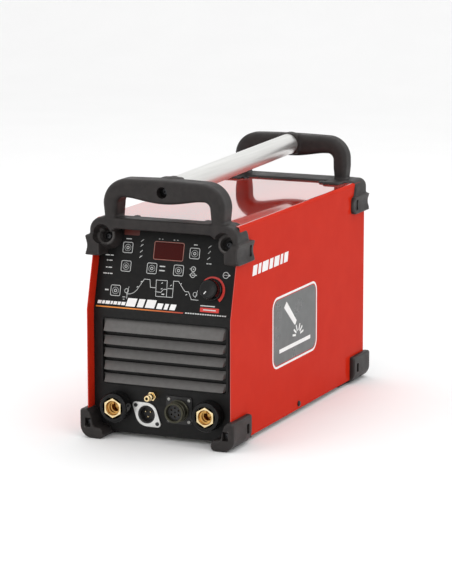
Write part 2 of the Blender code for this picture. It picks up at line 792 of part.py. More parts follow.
def make_torch_connector():
    """Two-hole diamond flange with a socket insert in its opening."""
    x, z = TORCH
    reach, big, small = 21.7, 17.8, 5.2
    lean = acos((big - small) / reach) * 180 / pi
    diamond = (
        arc(reach, 0, small, -lean, lean, 4)
        + arc(0, 0, big, lean, 180 - lean, 6)
        + arc(-reach, 0, small, 180 - lean, 180 + lean, 4)
        + arc(0, 0, big, 180 + lean, 360 - lean, 6)
    )
    holes = [circle(0, 0, 13.6), circle(reach, 0, 2.2, 10), circle(-reach, 0, 2.2, 10)]
    turn = (pi / 2, 36.7 * pi / 180, 0.0)
    flange = outline(diamond, 2.2, (x, PANEL_FRONT - 1.1 - GAP, z), turn, holes)
    as_part(flange, "torch_flange", ALUMINIUM)
    profile = [(0, -9), (11.8, -9), (11.8, 1.5), (13.2, 1.5), (13.2, -16), (0, -16)]
    insert = turned(profile, (x, PANEL_FRONT, z), FACING_FRONT, 18, False)
    as_part(insert, "torch_insert", BLACK_PLASTIC)


def make_remote_connector():
    """Round metal shell on a square flange, with a six-way insert set back inside."""
    x, z = REMOTE
    centre = (x, PANEL_FRONT, z)
    profile = [(12, 22), (15.2, 22), (15.2, 1.5), (13.2, 1.5), (13.2, -14), (12, -14)]
    shell = turned(profile, centre, FACING_FRONT, 24)
    square = rounded_rectangle(x - 20.5, z - 20.5, x + 20.5, z + 20.5, 3, 2)
    holes = [circle(x, z, 12.6)] + [
        circle(x + right, z + up, 1.8, 8) for right in (-16, 16) for up in (-16, 16)
    ]
    join(shell, front_outline(square, PANEL_FRONT - 2.3, PANEL_FRONT - GAP, holes))
    as_part(shell, "remote_shell", OLIVE)
    insert = cylinder(11.7, -12, 16, centre, FACING_FRONT, 24)
    as_part(insert, "remote_insert", BLACK_PLASTIC)


# ---------------------------------------------------------------- rear fittings


def make_fan():
    """Square axial fan: frame with a motor carried on struts, and a seven-bladed rotor."""
    x, z = FAN
    back = REAR_PANEL - SHEET - GAP
    front = back - 38
    ring = rounded_rectangle(x - 60, z - 60, x + 60, z + 60, 5, 2)
    frame = front_outline(ring, front, back, [circle(x, z, 57)])
    join(frame, cylinder(20, 0, 8, (x, front + 8, z), FACING_FRONT, 20))
    for turn in (pi / 4, 3 * pi / 4):
        strut = box((x - 62, front, z - 3), (x + 62, front + 4, z + 3), None, (0.0, turn, 0.0))
        join(frame, strut)
    as_part(frame, "fan_frame", BLACK_PLASTIC)

    middle = (x, (front + 8 + back) / 2, z)
    rotor = cylinder(20, -13, 13, middle, FACING_FRONT, 20)
    for blade in range(7):
        angle = blade * 2 * pi / 7
        bm = bmesh.new()
        bmesh.ops.create_cube(bm, size=1.0)
        bmesh.ops.scale(bm, vec=(37 * MM, 28 * MM, 1.8 * MM), verts=bm.verts)
        bmesh.ops.translate(bm, vec=(36 * MM, 0, 0), verts=bm.verts)
        mesh = bpy.data.meshes.new("blade")
        bm.to_mesh(mesh)
        bm.free()
        join(rotor, place(mesh, "blade", middle, (0.7, angle, 0.0)))
    as_part(rotor, "fan_rotor", BLACK_PLASTIC)

    rings = [(58, 55.0), (32, 29.0)]
    guard = None
    for outer, inner in rings:
        hoop = front_outline(
            circle(x, z, outer, 20), REAR_PANEL + GAP, REAR_PANEL + 2.8, [circle(x, z, inner, 20)]
        )
        guard = hoop if guard is None else join(guard, hoop)
    for turn, lift in ((pi / 4, 0.7), (3 * pi / 4, 0.9)):
        low = (x - 62, REAR_PANEL + lift, z - 1.3)
        high = (x + 62, REAR_PANEL + lift + 1.5, z + 1.3)
        join(guard, box(low, high, None, (0.0, turn, 0.0)))
    as_part(guard, "fan_guard", ZINC)


def make_mains_switch():
    x, z = SWITCH
    centre = (x, REAR_PANEL, z)
    body = bevel(
        box((x - 24, REAR_PANEL + GAP, z - 24), (x + 24, REAR_PANEL + 6, z + 24)), 1.5
    )
    join(body, box((x - 20, REAR_PANEL - 42, z - 20), (x + 20, REAR_PANEL + 3, z + 20)))
    as_part(body, "mains_switch_body", BLACK_PLASTIC)
    knob = cylinder(18, 6.3, 10, centre, FACING_REAR, 24)
    grip = bevel(box((x - 4.5, REAR_PANEL + 9, z - 17), (x + 4.5, REAR_PANEL + 24, z + 17)), 1.5)
    as_part(join(knob, grip), "mains_switch_knob", BLACK_PLASTIC)


def make_cable_gland():
    x, z = GLAND
    profile = [
        (6, 25),
        (9, 25),
        (12.5, 20),
        (13.5, 9),
        (13.5, GAP),
        (9.5, GAP),
        (9.5, -12),
        (6, -12),
    ]
    gland = turned(profile, (x, REAR_PANEL, z), FACING_REAR, 16)
    as_part(gland, "cable_gland", BLACK_PLASTIC)


def make_gas_line():
    """Inlet fitting on the rear panel, solenoid valve behind it and hose to the front outlet."""
    x, z = GAS_INLET
    profile = [
        (3.5, 24),
        (5.2, 24),
        (5.8, 13),
        (9.5, 11),
        (9.5, GAP),
        (6, GAP),
        (6, -10),
        (3.5, -10),
    ]
    inlet = turned(profile, (x, REAR_PANEL, z), FACING_REAR, 16)
    as_part(inlet, "gas_inlet", BRASS)
    back = REAR_PANEL - 12.3
    valve = box((x - 13, back - 40, z - 13), (x + 13, back, z + 13))
    join(valve, cylinder(14, 10, 42, (x, back - 18, z), UPRIGHT, 16))
    as_part(valve, "gas_valve", BRASS)

    start = Vector((x, back - 40 - GAP, z))
    end = Vector((GAS_OUTLET[0], PANEL_FRONT + 14 + 2 * GAP, GAS_OUTLET[1]))
    leaves, enters = start - Vector((0, 150, 0)), end + Vector((0, 130, 0))
    route = interpolate_bezier(start, leaves, enters, end, 16)
    curve = bpy.data.curves.new("hose", "CURVE")
    curve.dimensions = "3D"
    curve.bevel_depth = 4 * MM
    curve.bevel_resolution = 2
    curve.use_fill_caps = True
    spline = curve.splines.new("POLY")
    spline.points.add(len(route) - 1)
    for point, spot in zip(spline.points, route):
        point.co = (*(spot * MM), 1)
    drawn = bpy.data.objects.new("hose", curve)
    CUTTERS.objects.link(drawn)
    mesh = bpy.data.meshes.new_from_object(
        drawn.evaluated_get(bpy.context.evaluated_depsgraph_get())
    )
    bpy.data.objects.remove(drawn)
    bm = bmesh.new()
    bm.from_mesh(mesh)
    bmesh.ops.remove_doubles(bm, verts=bm.verts, dist=0.00001)
    bm.to_mesh(mesh)
    bm.free()
    as_part(place(mesh, "hose", (0, 0, 0)), "gas_hose", HOSE_BLUE)


# ---------------------------------------------------------------- power parts inside


def make_power_parts():
    """Heat sink with the power board on it, transformer and output choke on the base tray."""
    floor = CASE_BOTTOM + SHEET + GAP
    fins = 8
    pitch = 12.5
    left, right, top = 6.0, 6.0 + fins * pitch + 3, 82.0
    comb = [(right, top), (left, top)]
    for fin in range(fins + 1):
        x = left + fin * pitch
        comb += [(x, floor), (x + 3, floor)]
        if fin < fins:
            comb += [(x + 3, top - 9), (x + pitch, top - 9)]
    sink = front_outline(comb, -60, 165)
    as_part(sink, "heat_sink", ALUMINIUM)

    board = box((left - 4, -62, top + GAP), (right + 4, 168, top + GAP + 1.6))
    for y in (-30, 15, 60):
        join(board, cylinder(17, 1, 56, (right - 22, y, top), UPRIGHT, 16))
    join(board, box((left + 8, -40, top + 1), (left + 38, 60, top + 30)))
    join(board, box((left + 8, 90, top + 1), (left + 80, 150, top + 22)))
    as_part(board, "power_board", CIRCUIT_GREEN)

    core = box((12, -165, floor), (98, -105, 96))
    join(core, bevel(box((25, -188, floor + 18), (85, -82, 80)), 6))
    as_part(core, "main_transformer", LACQUER)

    ring = [(30, 0), (44, 6), (44, 24), (30, 30), (20, 24), (20, 6)]
    choke = turned(ring[::-1], (-48, 60, floor), UPRIGHT, 20)
    as_part(choke, "output_choke", COPPER)


CONTROLS = empty("control_plane", (0, PANEL_FRONT, PANEL_BEND), (pi / 2 - TILT, 0, 0))
BOSS_UP = (BOSS_Z - PANEL_BEND) / cos(TILT)
bpy.context.view_layer.update()

make_cover()
make_base_tray()
make_front_panel()
make_louvre_grille()
make_rear_panel()
make_front_bumper()
make_rear_bumper()
make_carry_tube()
make_foot("foot_front_left", -1, -1)
make_foot("foot_front_right", 1, -1)
make_foot("foot_rear_left", -1, 1)
make_foot("foot_rear_right", 1, 1)
make_case_screws()
make_control_overlay()
make_buttons()
make_display_window()
make_knob()
make_control_board()
make_weld_sockets()
make_gas_outlet()
make_torch_connector()
make_remote_connector()
make_fan()
make_mains_switch()
make_cable_gland()
make_gas_line()
make_power_parts()
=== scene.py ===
"""A portable TIG welding machine: red folded cover, moulded end bumpers with a carrying tube,
a slanted control panel over a louvred grille, and a row of weld and torch sockets.
Lengths inside the sections are millimetres; the front faces -Y."""

import json
from math import acos, atan2, cos, degrees, pi, radians, sin, tan

import bmesh
import bpy
from mathutils import Matrix, Vector

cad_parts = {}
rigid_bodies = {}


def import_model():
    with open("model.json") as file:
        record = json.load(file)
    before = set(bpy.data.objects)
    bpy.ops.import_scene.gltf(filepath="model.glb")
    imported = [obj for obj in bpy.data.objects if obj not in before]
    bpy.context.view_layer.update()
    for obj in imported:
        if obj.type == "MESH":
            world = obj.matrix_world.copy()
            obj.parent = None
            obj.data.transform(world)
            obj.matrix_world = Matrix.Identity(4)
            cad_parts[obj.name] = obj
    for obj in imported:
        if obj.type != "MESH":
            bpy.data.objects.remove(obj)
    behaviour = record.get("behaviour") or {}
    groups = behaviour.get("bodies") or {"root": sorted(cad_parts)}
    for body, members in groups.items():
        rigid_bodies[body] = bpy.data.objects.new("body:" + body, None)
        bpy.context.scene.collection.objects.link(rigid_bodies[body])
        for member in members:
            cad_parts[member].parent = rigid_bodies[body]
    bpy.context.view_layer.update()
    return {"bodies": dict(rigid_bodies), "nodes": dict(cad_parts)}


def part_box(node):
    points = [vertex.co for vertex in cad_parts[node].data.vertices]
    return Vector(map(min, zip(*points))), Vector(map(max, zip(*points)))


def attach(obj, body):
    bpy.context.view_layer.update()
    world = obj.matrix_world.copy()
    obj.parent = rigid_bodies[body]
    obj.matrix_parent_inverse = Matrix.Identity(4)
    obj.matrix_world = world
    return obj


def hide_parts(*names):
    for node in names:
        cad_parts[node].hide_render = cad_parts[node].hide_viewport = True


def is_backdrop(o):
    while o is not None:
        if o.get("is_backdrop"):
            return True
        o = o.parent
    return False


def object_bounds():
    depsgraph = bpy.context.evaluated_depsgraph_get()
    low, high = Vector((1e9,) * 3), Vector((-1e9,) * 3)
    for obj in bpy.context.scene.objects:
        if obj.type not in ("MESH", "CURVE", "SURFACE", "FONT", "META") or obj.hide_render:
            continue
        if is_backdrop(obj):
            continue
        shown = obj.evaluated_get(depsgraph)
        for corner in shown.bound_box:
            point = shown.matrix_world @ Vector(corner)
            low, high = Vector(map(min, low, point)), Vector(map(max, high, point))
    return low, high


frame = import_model()

# ------------------------------------------------------------------ base tray
# A shallow tray folded from zinc-plated steel that closes the bottom of the machine.
# The cover slides over its two upright sides and a screw goes through both.


def node(tree, kind, **values):
    """Adds a node and sets its inputs."""
    made = tree.nodes.new(kind)
    for socket, value in values.items():
        made.inputs[socket.replace("_", " ")].default_value = value
    return made


def surface(name, light, dark, grain, roughness, relief, metal=0.0, stretch=(1, 1, 1), **settings):
    """Two close colours, an uneven gloss and a fine relief, with so many grains to a metre."""
    material = bpy.data.materials.new(name)
    material.use_nodes = True
    tree = material.node_tree
    link = tree.links.new
    shader = tree.nodes["Principled BSDF"]
    turn = node(tree, "ShaderNodeMapping", Scale=stretch)
    link(tree.nodes.new("ShaderNodeTexCoord").outputs["Object"], turn.inputs["Vector"])

    def noise(scale, detail):
        cloud = node(tree, "ShaderNodeTexNoise", Scale=scale, Detail=detail)
        link(turn.outputs["Vector"], cloud.inputs["Vector"])
        return cloud.outputs["Fac"]

    tint = tree.nodes.new("ShaderNodeValToRGB")
    tint.name = "tint"
    for stop, position, colour in zip(tint.color_ramp.elements, (0.35, 0.68), (dark, light)):
        stop.position, stop.color = position, (*colour, 1)
    link(noise(grain / 12, 6), tint.inputs["Fac"])
    link(tint.outputs["Color"], shader.inputs["Base Color"])
    low, high = roughness
    gloss = node(tree, "ShaderNodeMapRange", From_Min=0.3, From_Max=0.7, To_Min=low, To_Max=high)
    link(noise(grain / 30, 4), gloss.inputs["Value"])
    link(gloss.outputs["Result"], shader.inputs["Roughness"])
    bump = node(tree, "ShaderNodeBump", Strength=relief, Distance=0.4 / grain)
    link(noise(grain, 2), bump.inputs["Height"])
    link(bump.outputs["Normal"], shader.inputs["Normal"])
    shader.inputs["Metallic"].default_value = metal
    for socket, value in settings.items():
        shader.inputs[socket.replace("_", " ")].default_value = value
    return material
def coat(material, *names):
    """Gives CAD pieces their finish."""
    for name in names:
        mesh = frame["nodes"][name].data
        mesh.materials.clear()
        mesh.materials.append(material)


zinc_sheet = surface(
    "zinc_sheet", (0.50, 0.50, 0.47), (0.36, 0.36, 0.34), 900, (0.28, 0.46), 0.15, metal=1.0
)
coat(zinc_sheet, "base_tray", "gas_valve", "encoder_body", "encoder_shaft")

# ------------------------------------------------------------------ power parts inside
# Heat sink, power board, transformer, choke and control board fill the case behind the
# grille. Extruded aluminium, lacquered windings and green glass-fibre boards.

sink_alloy = surface(
    "sink_alloy", (0.62, 0.62, 0.62), (0.5, 0.5, 0.51), 1400, (0.3, 0.45), 0.1, 1.0, (1, 0.04, 1)
)
green_board = surface(
    "green_board", (0.02, 0.16, 0.06), (0.012, 0.1, 0.04), 500, (0.35, 0.5), 0.1
)
lacquered_wire = surface(
    "lacquered_wire", (0.16, 0.07, 0.03), (0.06, 0.03, 0.018), 700, (0.3, 0.5), 0.5
)
hose_rubber = surface(
    "hose_rubber", (0.03, 0.07, 0.22), (0.02, 0.05, 0.15), 900, (0.4, 0.55), 0.2
)
coat(sink_alloy, "heat_sink")
coat(green_board, "power_board", "control_board")
coat(lacquered_wire, "main_transformer", "output_choke")
coat(hose_rubber, "gas_hose")

# ------------------------------------------------------------------ cover
# One sheet of steel folded down both sides with rounded bends, its front edges leaning
# back beside the controls. Painted in a deep gloss red and baked.

MM = 0.001


def measured(name):
    """The low and the high corner of a CAD piece."""
    return [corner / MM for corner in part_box(name)]


SHEET, GAP, BEND_RADIUS = 1.5, 0.3, 5.5
COVER_LOW, COVER_HIGH = measured("case_cover")
HALF_WIDTH, CASE_REAR, CASE_TOP = COVER_HIGH
CASE_FRONT, CASE_BOTTOM = COVER_LOW.y, COVER_LOW.z
SLANT_START = 192.5
TILT = atan2(35.0, 132.5)
DEGREES = pi / 180


def seated(origin, across, up):
    """Where a piece sits: its origin, the way its X runs and the way its Y runs."""
    x_axis, y_axis = Vector(across).normalized(), Vector(up).normalized()
    turned_in = Matrix((x_axis, y_axis, x_axis.cross(y_axis))).transposed().to_4x4()
    return Matrix.Translation(Vector(origin)) @ turned_in


def shaped(name, bm, seat=Matrix.Identity(4)):
    """Turns drawn faces into an object, seated in the machine."""
    bmesh.ops.recalc_face_normals(bm, faces=bm.faces)
    mesh = bpy.data.meshes.new(name)
    bm.to_mesh(mesh)
    bm.free()
    mesh.transform(Matrix.Scale(MM, 4) @ seat)
    obj = bpy.data.objects.new(name, mesh)
    bpy.context.scene.collection.objects.link(obj)
    return obj


def settled(obj):
    """Keeps what the modifiers make as the piece's own mesh."""
    depsgraph = bpy.context.evaluated_depsgraph_get()
    mesh = bpy.data.meshes.new_from_object(obj.evaluated_get(depsgraph))
    obj.modifiers.clear()
    obj.data = mesh
    return obj


def combined(obj, other, operation):
    """Cuts another shape away from a piece, or keeps only what both have."""
    boolean = obj.modifiers.new("combine", "BOOLEAN")
    boolean.operation = operation
    boolean.solver = "MANIFOLD"
    boolean.object = other
    settled(obj)
    bpy.data.objects.remove(other)
    return obj


def cut(obj, *cutters):
    for cutter in cutters:
        combined(obj, cutter, "DIFFERENCE")
    return obj
def eased(obj, width, segments=2, limit=0.6):
    """Breaks the sharp edges of a piece."""
    edge = obj.modifiers.new("edge", "BEVEL")
    edge.width = width * MM
    edge.segments = segments
    edge.limit_method = "ANGLE"
    edge.angle_limit = limit
    return settled(obj)


def smooth(obj, angle=0.55):
    obj.data.shade_smooth()
    obj.data.set_sharp_from_angle(angle=angle)
    weigh = obj.modifiers.new("shading", "WEIGHTED_NORMAL")
    weigh.keep_sharp = True
    weigh.weight = 80
    return settled(obj)


def fitted(obj, body, slot, material, *stands_for):
    """Finishes a piece: its material, the body it moves with and the CAD pieces it stands for."""
    obj.data.materials.clear()
    obj.data.materials.append(material)
    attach(obj, body)
    if stands_for:
        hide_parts(*stands_for)
    return obj


def arc(x, y, radius, start, end, steps):
    angles = [(start + (end - start) * i / steps) * DEGREES for i in range(steps + 1)]
    return [(x + radius * cos(angle), y + radius * sin(angle)) for angle in angles]


def circle(x, y, radius, steps=48):
    return arc(x, y, radius, 0, 360 - 360 / steps, steps - 1)


def rounded(x, y, half_width, half_height, radius, steps=6):
    """A rounded rectangle about a centre."""
    right, up = half_width - radius, half_height - radius
    return (
        arc(x + right, y + up, radius, 0, 90, steps)
        + arc(x - right, y + up, radius, 90, 180, steps)
        + arc(x - right, y - up, radius, 180, 270, steps)
        + arc(x + right, y - up, radius, 270, 360, steps)
    )


def meshed(name, curve, loops, closed=True):
    """The faces of a curve drawn through points."""
    for loop in loops:
        spline = curve.splines.new("POLY")
        spline.points.add(len(loop) - 1)
        for place, point in zip(spline.points, loop):
            place.co = (*point, 1)
        spline.use_cyclic_u = closed
    drawn = bpy.data.objects.new(name, curve)
    bpy.context.scene.collection.objects.link(drawn)
    depsgraph = bpy.context.evaluated_depsgraph_get()
    mesh = bpy.data.meshes.new_from_object(drawn.evaluated_get(depsgraph))
    bpy.data.objects.remove(drawn)
    bm = bmesh.new()
    bm.from_mesh(mesh)
    return bm


def plate(name, outer, low, high, seat=Matrix.Identity(4), holes=()):
    """A flat outline with holes, from one height to another along its own Z."""
    curve = bpy.data.curves.new(name, "CURVE")
    curve.dimensions = "2D"
    curve.fill_mode = "BOTH"
    curve.extrude = (high - low) / 2
    bm = meshed(name, curve, [[(x, y, 0) for x, y in loop] for loop in (outer, *holes)])
    bmesh.ops.remove_doubles(bm, verts=bm.verts, dist=0.001)
    bmesh.ops.dissolve_limit(bm, angle_limit=0.001, verts=bm.verts, edges=bm.edges)
    bmesh.ops.translate(bm, vec=(0, 0, (high + low) / 2), verts=bm.verts)
    return shaped(name, bm, seat)
def looking_front(x, y, z):
    return seated((x, y, z), (1, 0, 0), (0, 0, 1))


def looking_side(x, side=1):
    return seated((x, 0, 0), (0, side, 0), (0, 0, 1))


def along(name, outline, front, rear):
    """An outline seen from the front, from one length to another down the machine."""
    return plate(name, outline, -rear, -front, looking_front(0, 0, 0))
def folded_sheet(name, grow=0.0):
    """The cover's sheet; grown all round it becomes the clearance that other pieces need."""
    half, top = HALF_WIDTH + grow, CASE_TOP + grow
    bottom, bend = CASE_BOTTOM - grow, BEND_RADIUS + grow
    outside = (
        [(-half, bottom)]
        + arc(-half + bend, top - bend, bend, 180, 90, 10)
        + arc(half - bend, top - bend, bend, 90, 0, 10)
        + [(half, bottom)]
    )
    thick = SHEET + 2 * grow
    low_half, low_top, low_bend = half - thick, top - thick, bend - thick
    inside = (
        [(low_half, bottom)]
        + arc(low_half - low_bend, low_top - low_bend, low_bend, 0, 90, 10)
        + arc(-low_half + low_bend, low_top - low_bend, low_bend, 90, 180, 10)
        + [(-low_half, bottom)]
    )
    sheet = along(name, outside + inside, CASE_FRONT - grow, CASE_REAR + grow)
    low, high = SLANT_START - 10, CASE_TOP + 15
    forward = grow / cos(TILT)
    front_low = CASE_FRONT - forward + (low - SLANT_START) * tan(TILT)
    front_high = CASE_FRONT - forward + (high - SLANT_START) * tan(TILT)
    wedge = [(front_low, low), (front_high, high), (CASE_FRONT - 60, high), (CASE_FRONT - 60, low)]
    return cut(sheet, plate("wedge", wedge, -150, 150, looking_side(0)))


gloss_red = surface(
    "gloss_red", (0.56, 0.022, 0.008), (0.52, 0.018, 0.006), 260, (0.05, 0.08), 0.012,
    Specular_IOR_Level=0.5, Coat_Weight=1.0, Coat_Roughness=0.025, Coat_IOR=1.75,
)
# A copy of the same red for the faces that look sideways, with its coat and reflection turned down:
# a painted dimming of the sides' reflection, not a second paint.
side_red_dimmed_reflection = surface(
    "side_red_dimmed_reflection", (0.55, 0.024, 0.009), (0.52, 0.020, 0.007), 260, (0.30, 0.36), 0.015,
    Specular_IOR_Level=0.0, Coat_Weight=0.14, Coat_Roughness=0.04,
)
cover = smooth(eased(folded_sheet("cover"), 0.35), 0.45)
fitted(cover, "case", "red_paint", gloss_red, "case_cover")
# Faces that look sideways take the copy with the dimmed reflection, so the difference in reflection
# is painted by which way each face looks.
cover.data.materials.append(side_red_dimmed_reflection)
for face in cover.data.polygons:
    if abs(face.normal.x) > 0.3:
        face.material_index = 1

# ------------------------------------------------------------------ marks on the cover's sides
# Self-adhesive vinyl: a row of slanted white bars, and a dark tile with a plain electrode and
# arc sign on a light-edged field. The same on both sides.


def bars(name, loops, seat, thick=0.05):
    """Flat printed shapes, each a closed loop of points."""
    bm = bmesh.new()
    for loop in loops:
        low = [bm.verts.new((x, y, 0)) for x, y in loop]
        high = [bm.verts.new((x, y, thick)) for x, y in loop]
        bm.faces.new(high)
        bm.faces.new(low[::-1])
        for i in range(len(loop)):
            j = (i + 1) % len(loop)
            bm.faces.new((low[i], low[j], high[j], high[i]))
    return shaped(name, bm, seat)


def stroke(points, width, closed=False):
    """The quads of a drawn line, mitred at its corners."""
    count = len(points)
    lines = []
    for i, (x, y) in enumerate(points):
        before = Vector(points[i - 1]) if i or closed else None
        after = Vector(points[(i + 1) % count]) if i < count - 1 or closed else None
        here = Vector((x, y))
        ways = []
        if before is not None:
            ways.append((here - before).normalized())
        if after is not None:
            ways.append((after - here).normalized())
        way = sum(ways, Vector((0, 0))).normalized()
        normal = Vector((-way.y, way.x))
        stretch = 1 / max(0.4, abs(way.dot(ways[0])))
        lines.append((here + normal * width / 2 * stretch, here - normal * width / 2 * stretch))
    pairs = list(zip(lines, lines[1:] + lines[:1])) if closed else list(zip(lines, lines[1:]))
    return [[tuple(a[1]), tuple(b[1]), tuple(b[0]), tuple(a[0])] for a, b in pairs]


def dash(first, last, up, width):
    return stroke([(first, up), (last, up)], width)


def bar_row(start, lengths, low, high, lean, gap):
    """A row of bars that lean as they rise, and where a next row starts."""
    row = []
    for length in lengths:
        end = start + length
        row.append([(start, low), (end, low), (end + lean, high), (start + lean, high)])
        start += length + gap
    return row, start


white_vinyl = surface(
    "white_vinyl", (0.86, 0.85, 0.84), (0.78, 0.77, 0.76), 800, (0.3, 0.4), 0.05
)
grey_vinyl = surface(
    "grey_vinyl", (0.075, 0.08, 0.08), (0.055, 0.06, 0.06), 800, (0.25, 0.35), 0.05
)
BAR_LENGTHS = (16, 10, 22, 13, 19, 9, 15)
TILE_HEIGHT = 142
for side, hand in ((1, "right"), (-1, "left")):
    lower = looking_side(side * (HALF_WIDTH + 0.02), side)
    upper = looking_side(side * (HALF_WIDTH + 0.09), side)
    row, _ = bar_row(-190.0 if side > 0 else 42.0, BAR_LENGTHS, 245, 260, 4, 5)
    fitted(bars(f"side_bars_{hand}", row, lower), "case", "red_paint", white_vinyl)
    middle = -25.0 * side
    tile = bars(f"side_tile_{hand}", [rounded(middle, TILE_HEIGHT, 84, 50, 14)], lower)
    fitted(tile, "case", "red_paint", grey_vinyl)
    sign = stroke(rounded(middle, TILE_HEIGHT, 87, 53, 16), 3.4, True)
    rod_end = ((-44, 176), (-34, 184), (6, 148), (1, 142), (-3, 143))
    sign += [[(middle + x, z) for x, z in rod_end]]
    sign += dash(middle - 62, middle + 62, 112, 6)
    for angle in (10, 40, 70, 110, 140, 170):
        across, up = cos(angle * DEGREES), sin(angle * DEGREES)
        sign += stroke([(middle + 12 + r * across, 124 + r * up * 0.8) for r in (9, 22)], 3.2)
    fitted(bars(f"side_sign_{hand}", sign, upper), "case", "red_paint", white_vinyl)

# ------------------------------------------------------------------ front panel
# A bent steel panel set back inside the cover, painted in a fine satin black. It carries
# every socket, the grille and the controls.

satin_black = surface(
    "satin_black", (0.009, 0.0085, 0.008), (0.005, 0.005, 0.005), 1600, (0.38, 0.52), 0.25,
    Specular_IOR_Level=0.22,
)
coat(satin_black, "front_panel", "rear_panel")
PANEL_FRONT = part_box("front_panel")[0].y / MM
PANEL_BEND = SLANT_START - (PANEL_FRONT - CASE_FRONT) * tan(TILT / 2)

# ------------------------------------------------------------------ louvre grille
# A moulded grille pressed into the panel: five hooded slats that stand out at their lower
# edges and die into the frame at both ends.


def louvre(name, half, low, high, back, front):
    """A hood: proud along its lower edge, sinking away at the top and at both ends."""
    across, up = 60, 10
    bm = bmesh.new()
    rows = []
    for j in range(up + 1):
        share = j / up
        row = []
        for i in range(across + 1):
            side = -1 + 2 * i / across
            x = side * half
            end = max(0.0, (abs(x) - (half - 7)) / 7)
            fade = (1 - min(1.0, end) ** 3) ** (1 / 2.2)
            lift = (1 - share) ** 0.9 * fade
            z = low + (high - low) * share
            z += (1 - fade) * 2.2 * (1 - share)
            row.append(bm.verts.new((x, back + (front - back) * lift, z)))
        rows.append(row)
    for lower, upper in zip(rows, rows[1:]):
        for i in range(across):
            bm.faces.new((lower[i], lower[i + 1], upper[i + 1], upper[i]))
    obj = shaped(name, bm)
    wall = obj.modifiers.new("wall", "SOLIDIFY")
    wall.thickness = 1.6 * MM
    wall.offset = -1
    return smooth(settled(obj), 0.7)


# The slats are the same black moulding as the frame, coloured mid grey to stand for the light from
# above on their upward faces: painted light.
slat_grey_painted_light = surface(
    "slat_grey_painted_light", (0.128, 0.124, 0.120), (0.110, 0.106, 0.102), 1500, (0.42, 0.55), 0.3,
    Specular_IOR_Level=0.35,
)
grille_low, grille_high = measured("louvre_grille")
grille_z, grille_tall = (grille_low.z + grille_high.z) / 2, (grille_high.z - grille_low.z) / 2
grille_half = grille_high.x
panel_seat = looking_front(0, PANEL_FRONT, 0)
outer = rounded(0, grille_z, grille_half, grille_tall, 5.7)
opening = rounded(0, grille_z, grille_half - 3.6, grille_tall - 1.2, 4)
grille_frame = plate("grille_frame", outer, -9.5, 0.9, panel_seat, [opening])
fitted(smooth(eased(grille_frame, 0.5)), "case", "grille_moulding", satin_black, "louvre_grille")
# A black sheet closes the back of the grille's opening so the gaps between the slats show black: a
# dark sheet standing in for the shade inside the case, painted shade.
shade_sheet_outline = rounded(0, grille_z, grille_half - 3.3, grille_tall - 0.9, 4)
shade_sheet = plate("grille_shade_sheet", shade_sheet_outline, -9.4, -8.4, panel_seat)
fitted(shade_sheet, "case", "grille_moulding", satin_black)
slat_spans = [(158.7, 177.0)] + [(139.5 - 19.2 * row, 150.8 - 19.2 * row) for row in range(4)]
back, front = PANEL_FRONT + 4.5, PANEL_FRONT - 5.6
# Each slat takes the mid grey, painted light on the black moulding.
for number, (low, high) in enumerate(slat_spans):
    slat = louvre(f"slat_{number + 1}", grille_half - 3.8, low, high, back, front)
    fitted(slat, "case", "grille_moulding", slat_grey_painted_light)

# ------------------------------------------------------------------ weld sockets
# Two output sockets for the cable plugs: a black insulating ring locked in the panel, with
# a machined brass contact inside it, six-sided outside and bored with a keyed thread.


def turned(name, profile, seat, steps=64):
    """A profile of (radius, height) points turned about the seat's own Z."""
    bm = bmesh.new()
    rings = []
    for radius, height in profile:
        if radius < 0.001:
            rings.append([bm.verts.new((0, 0, height))])
            continue
        turns = [2 * pi * step / steps for step in range(steps)]
        rings.append([bm.verts.new((radius * cos(a), radius * sin(a), height)) for a in turns])
    for first, second in zip(rings, rings[1:]):
        for step in range(steps):
            following = (step + 1) % steps
            if len(first) == 1 and len(second) == 1:
                continue
            if len(first) == 1:
                bm.faces.new((first[0], second[following], second[step]))
            elif len(second) == 1:
                bm.faces.new((first[step], first[following], second[0]))
            else:
                bm.faces.new((first[step], first[following], second[following], second[step]))
    return shaped(name, bm, seat)


def hexagon(radius, start=0):
    turns = [angle * DEGREES for angle in range(start, start + 360, 60)]
    return [(radius * cos(a), radius * sin(a)) for a in turns]


def front_seat(name):
    """On the front panel at the middle of a CAD piece, and how far that piece stands out."""
    low, high = measured(name)
    seat = looking_front((low.x + high.x) / 2, PANEL_FRONT, (low.z + high.z) / 2)
    return seat, PANEL_FRONT - low.y


gloss_black = surface(
    "gloss_black", (0.008, 0.008, 0.008), (0.005, 0.005, 0.005), 700, (0.12, 0.2), 0.05,
    Specular_IOR_Level=0.22,
)
bright_brass = surface(
    "bright_brass", (0.95, 0.78, 0.48), (0.86, 0.66, 0.34), 1500, (0.16, 0.28), 0.12, 1.0
)
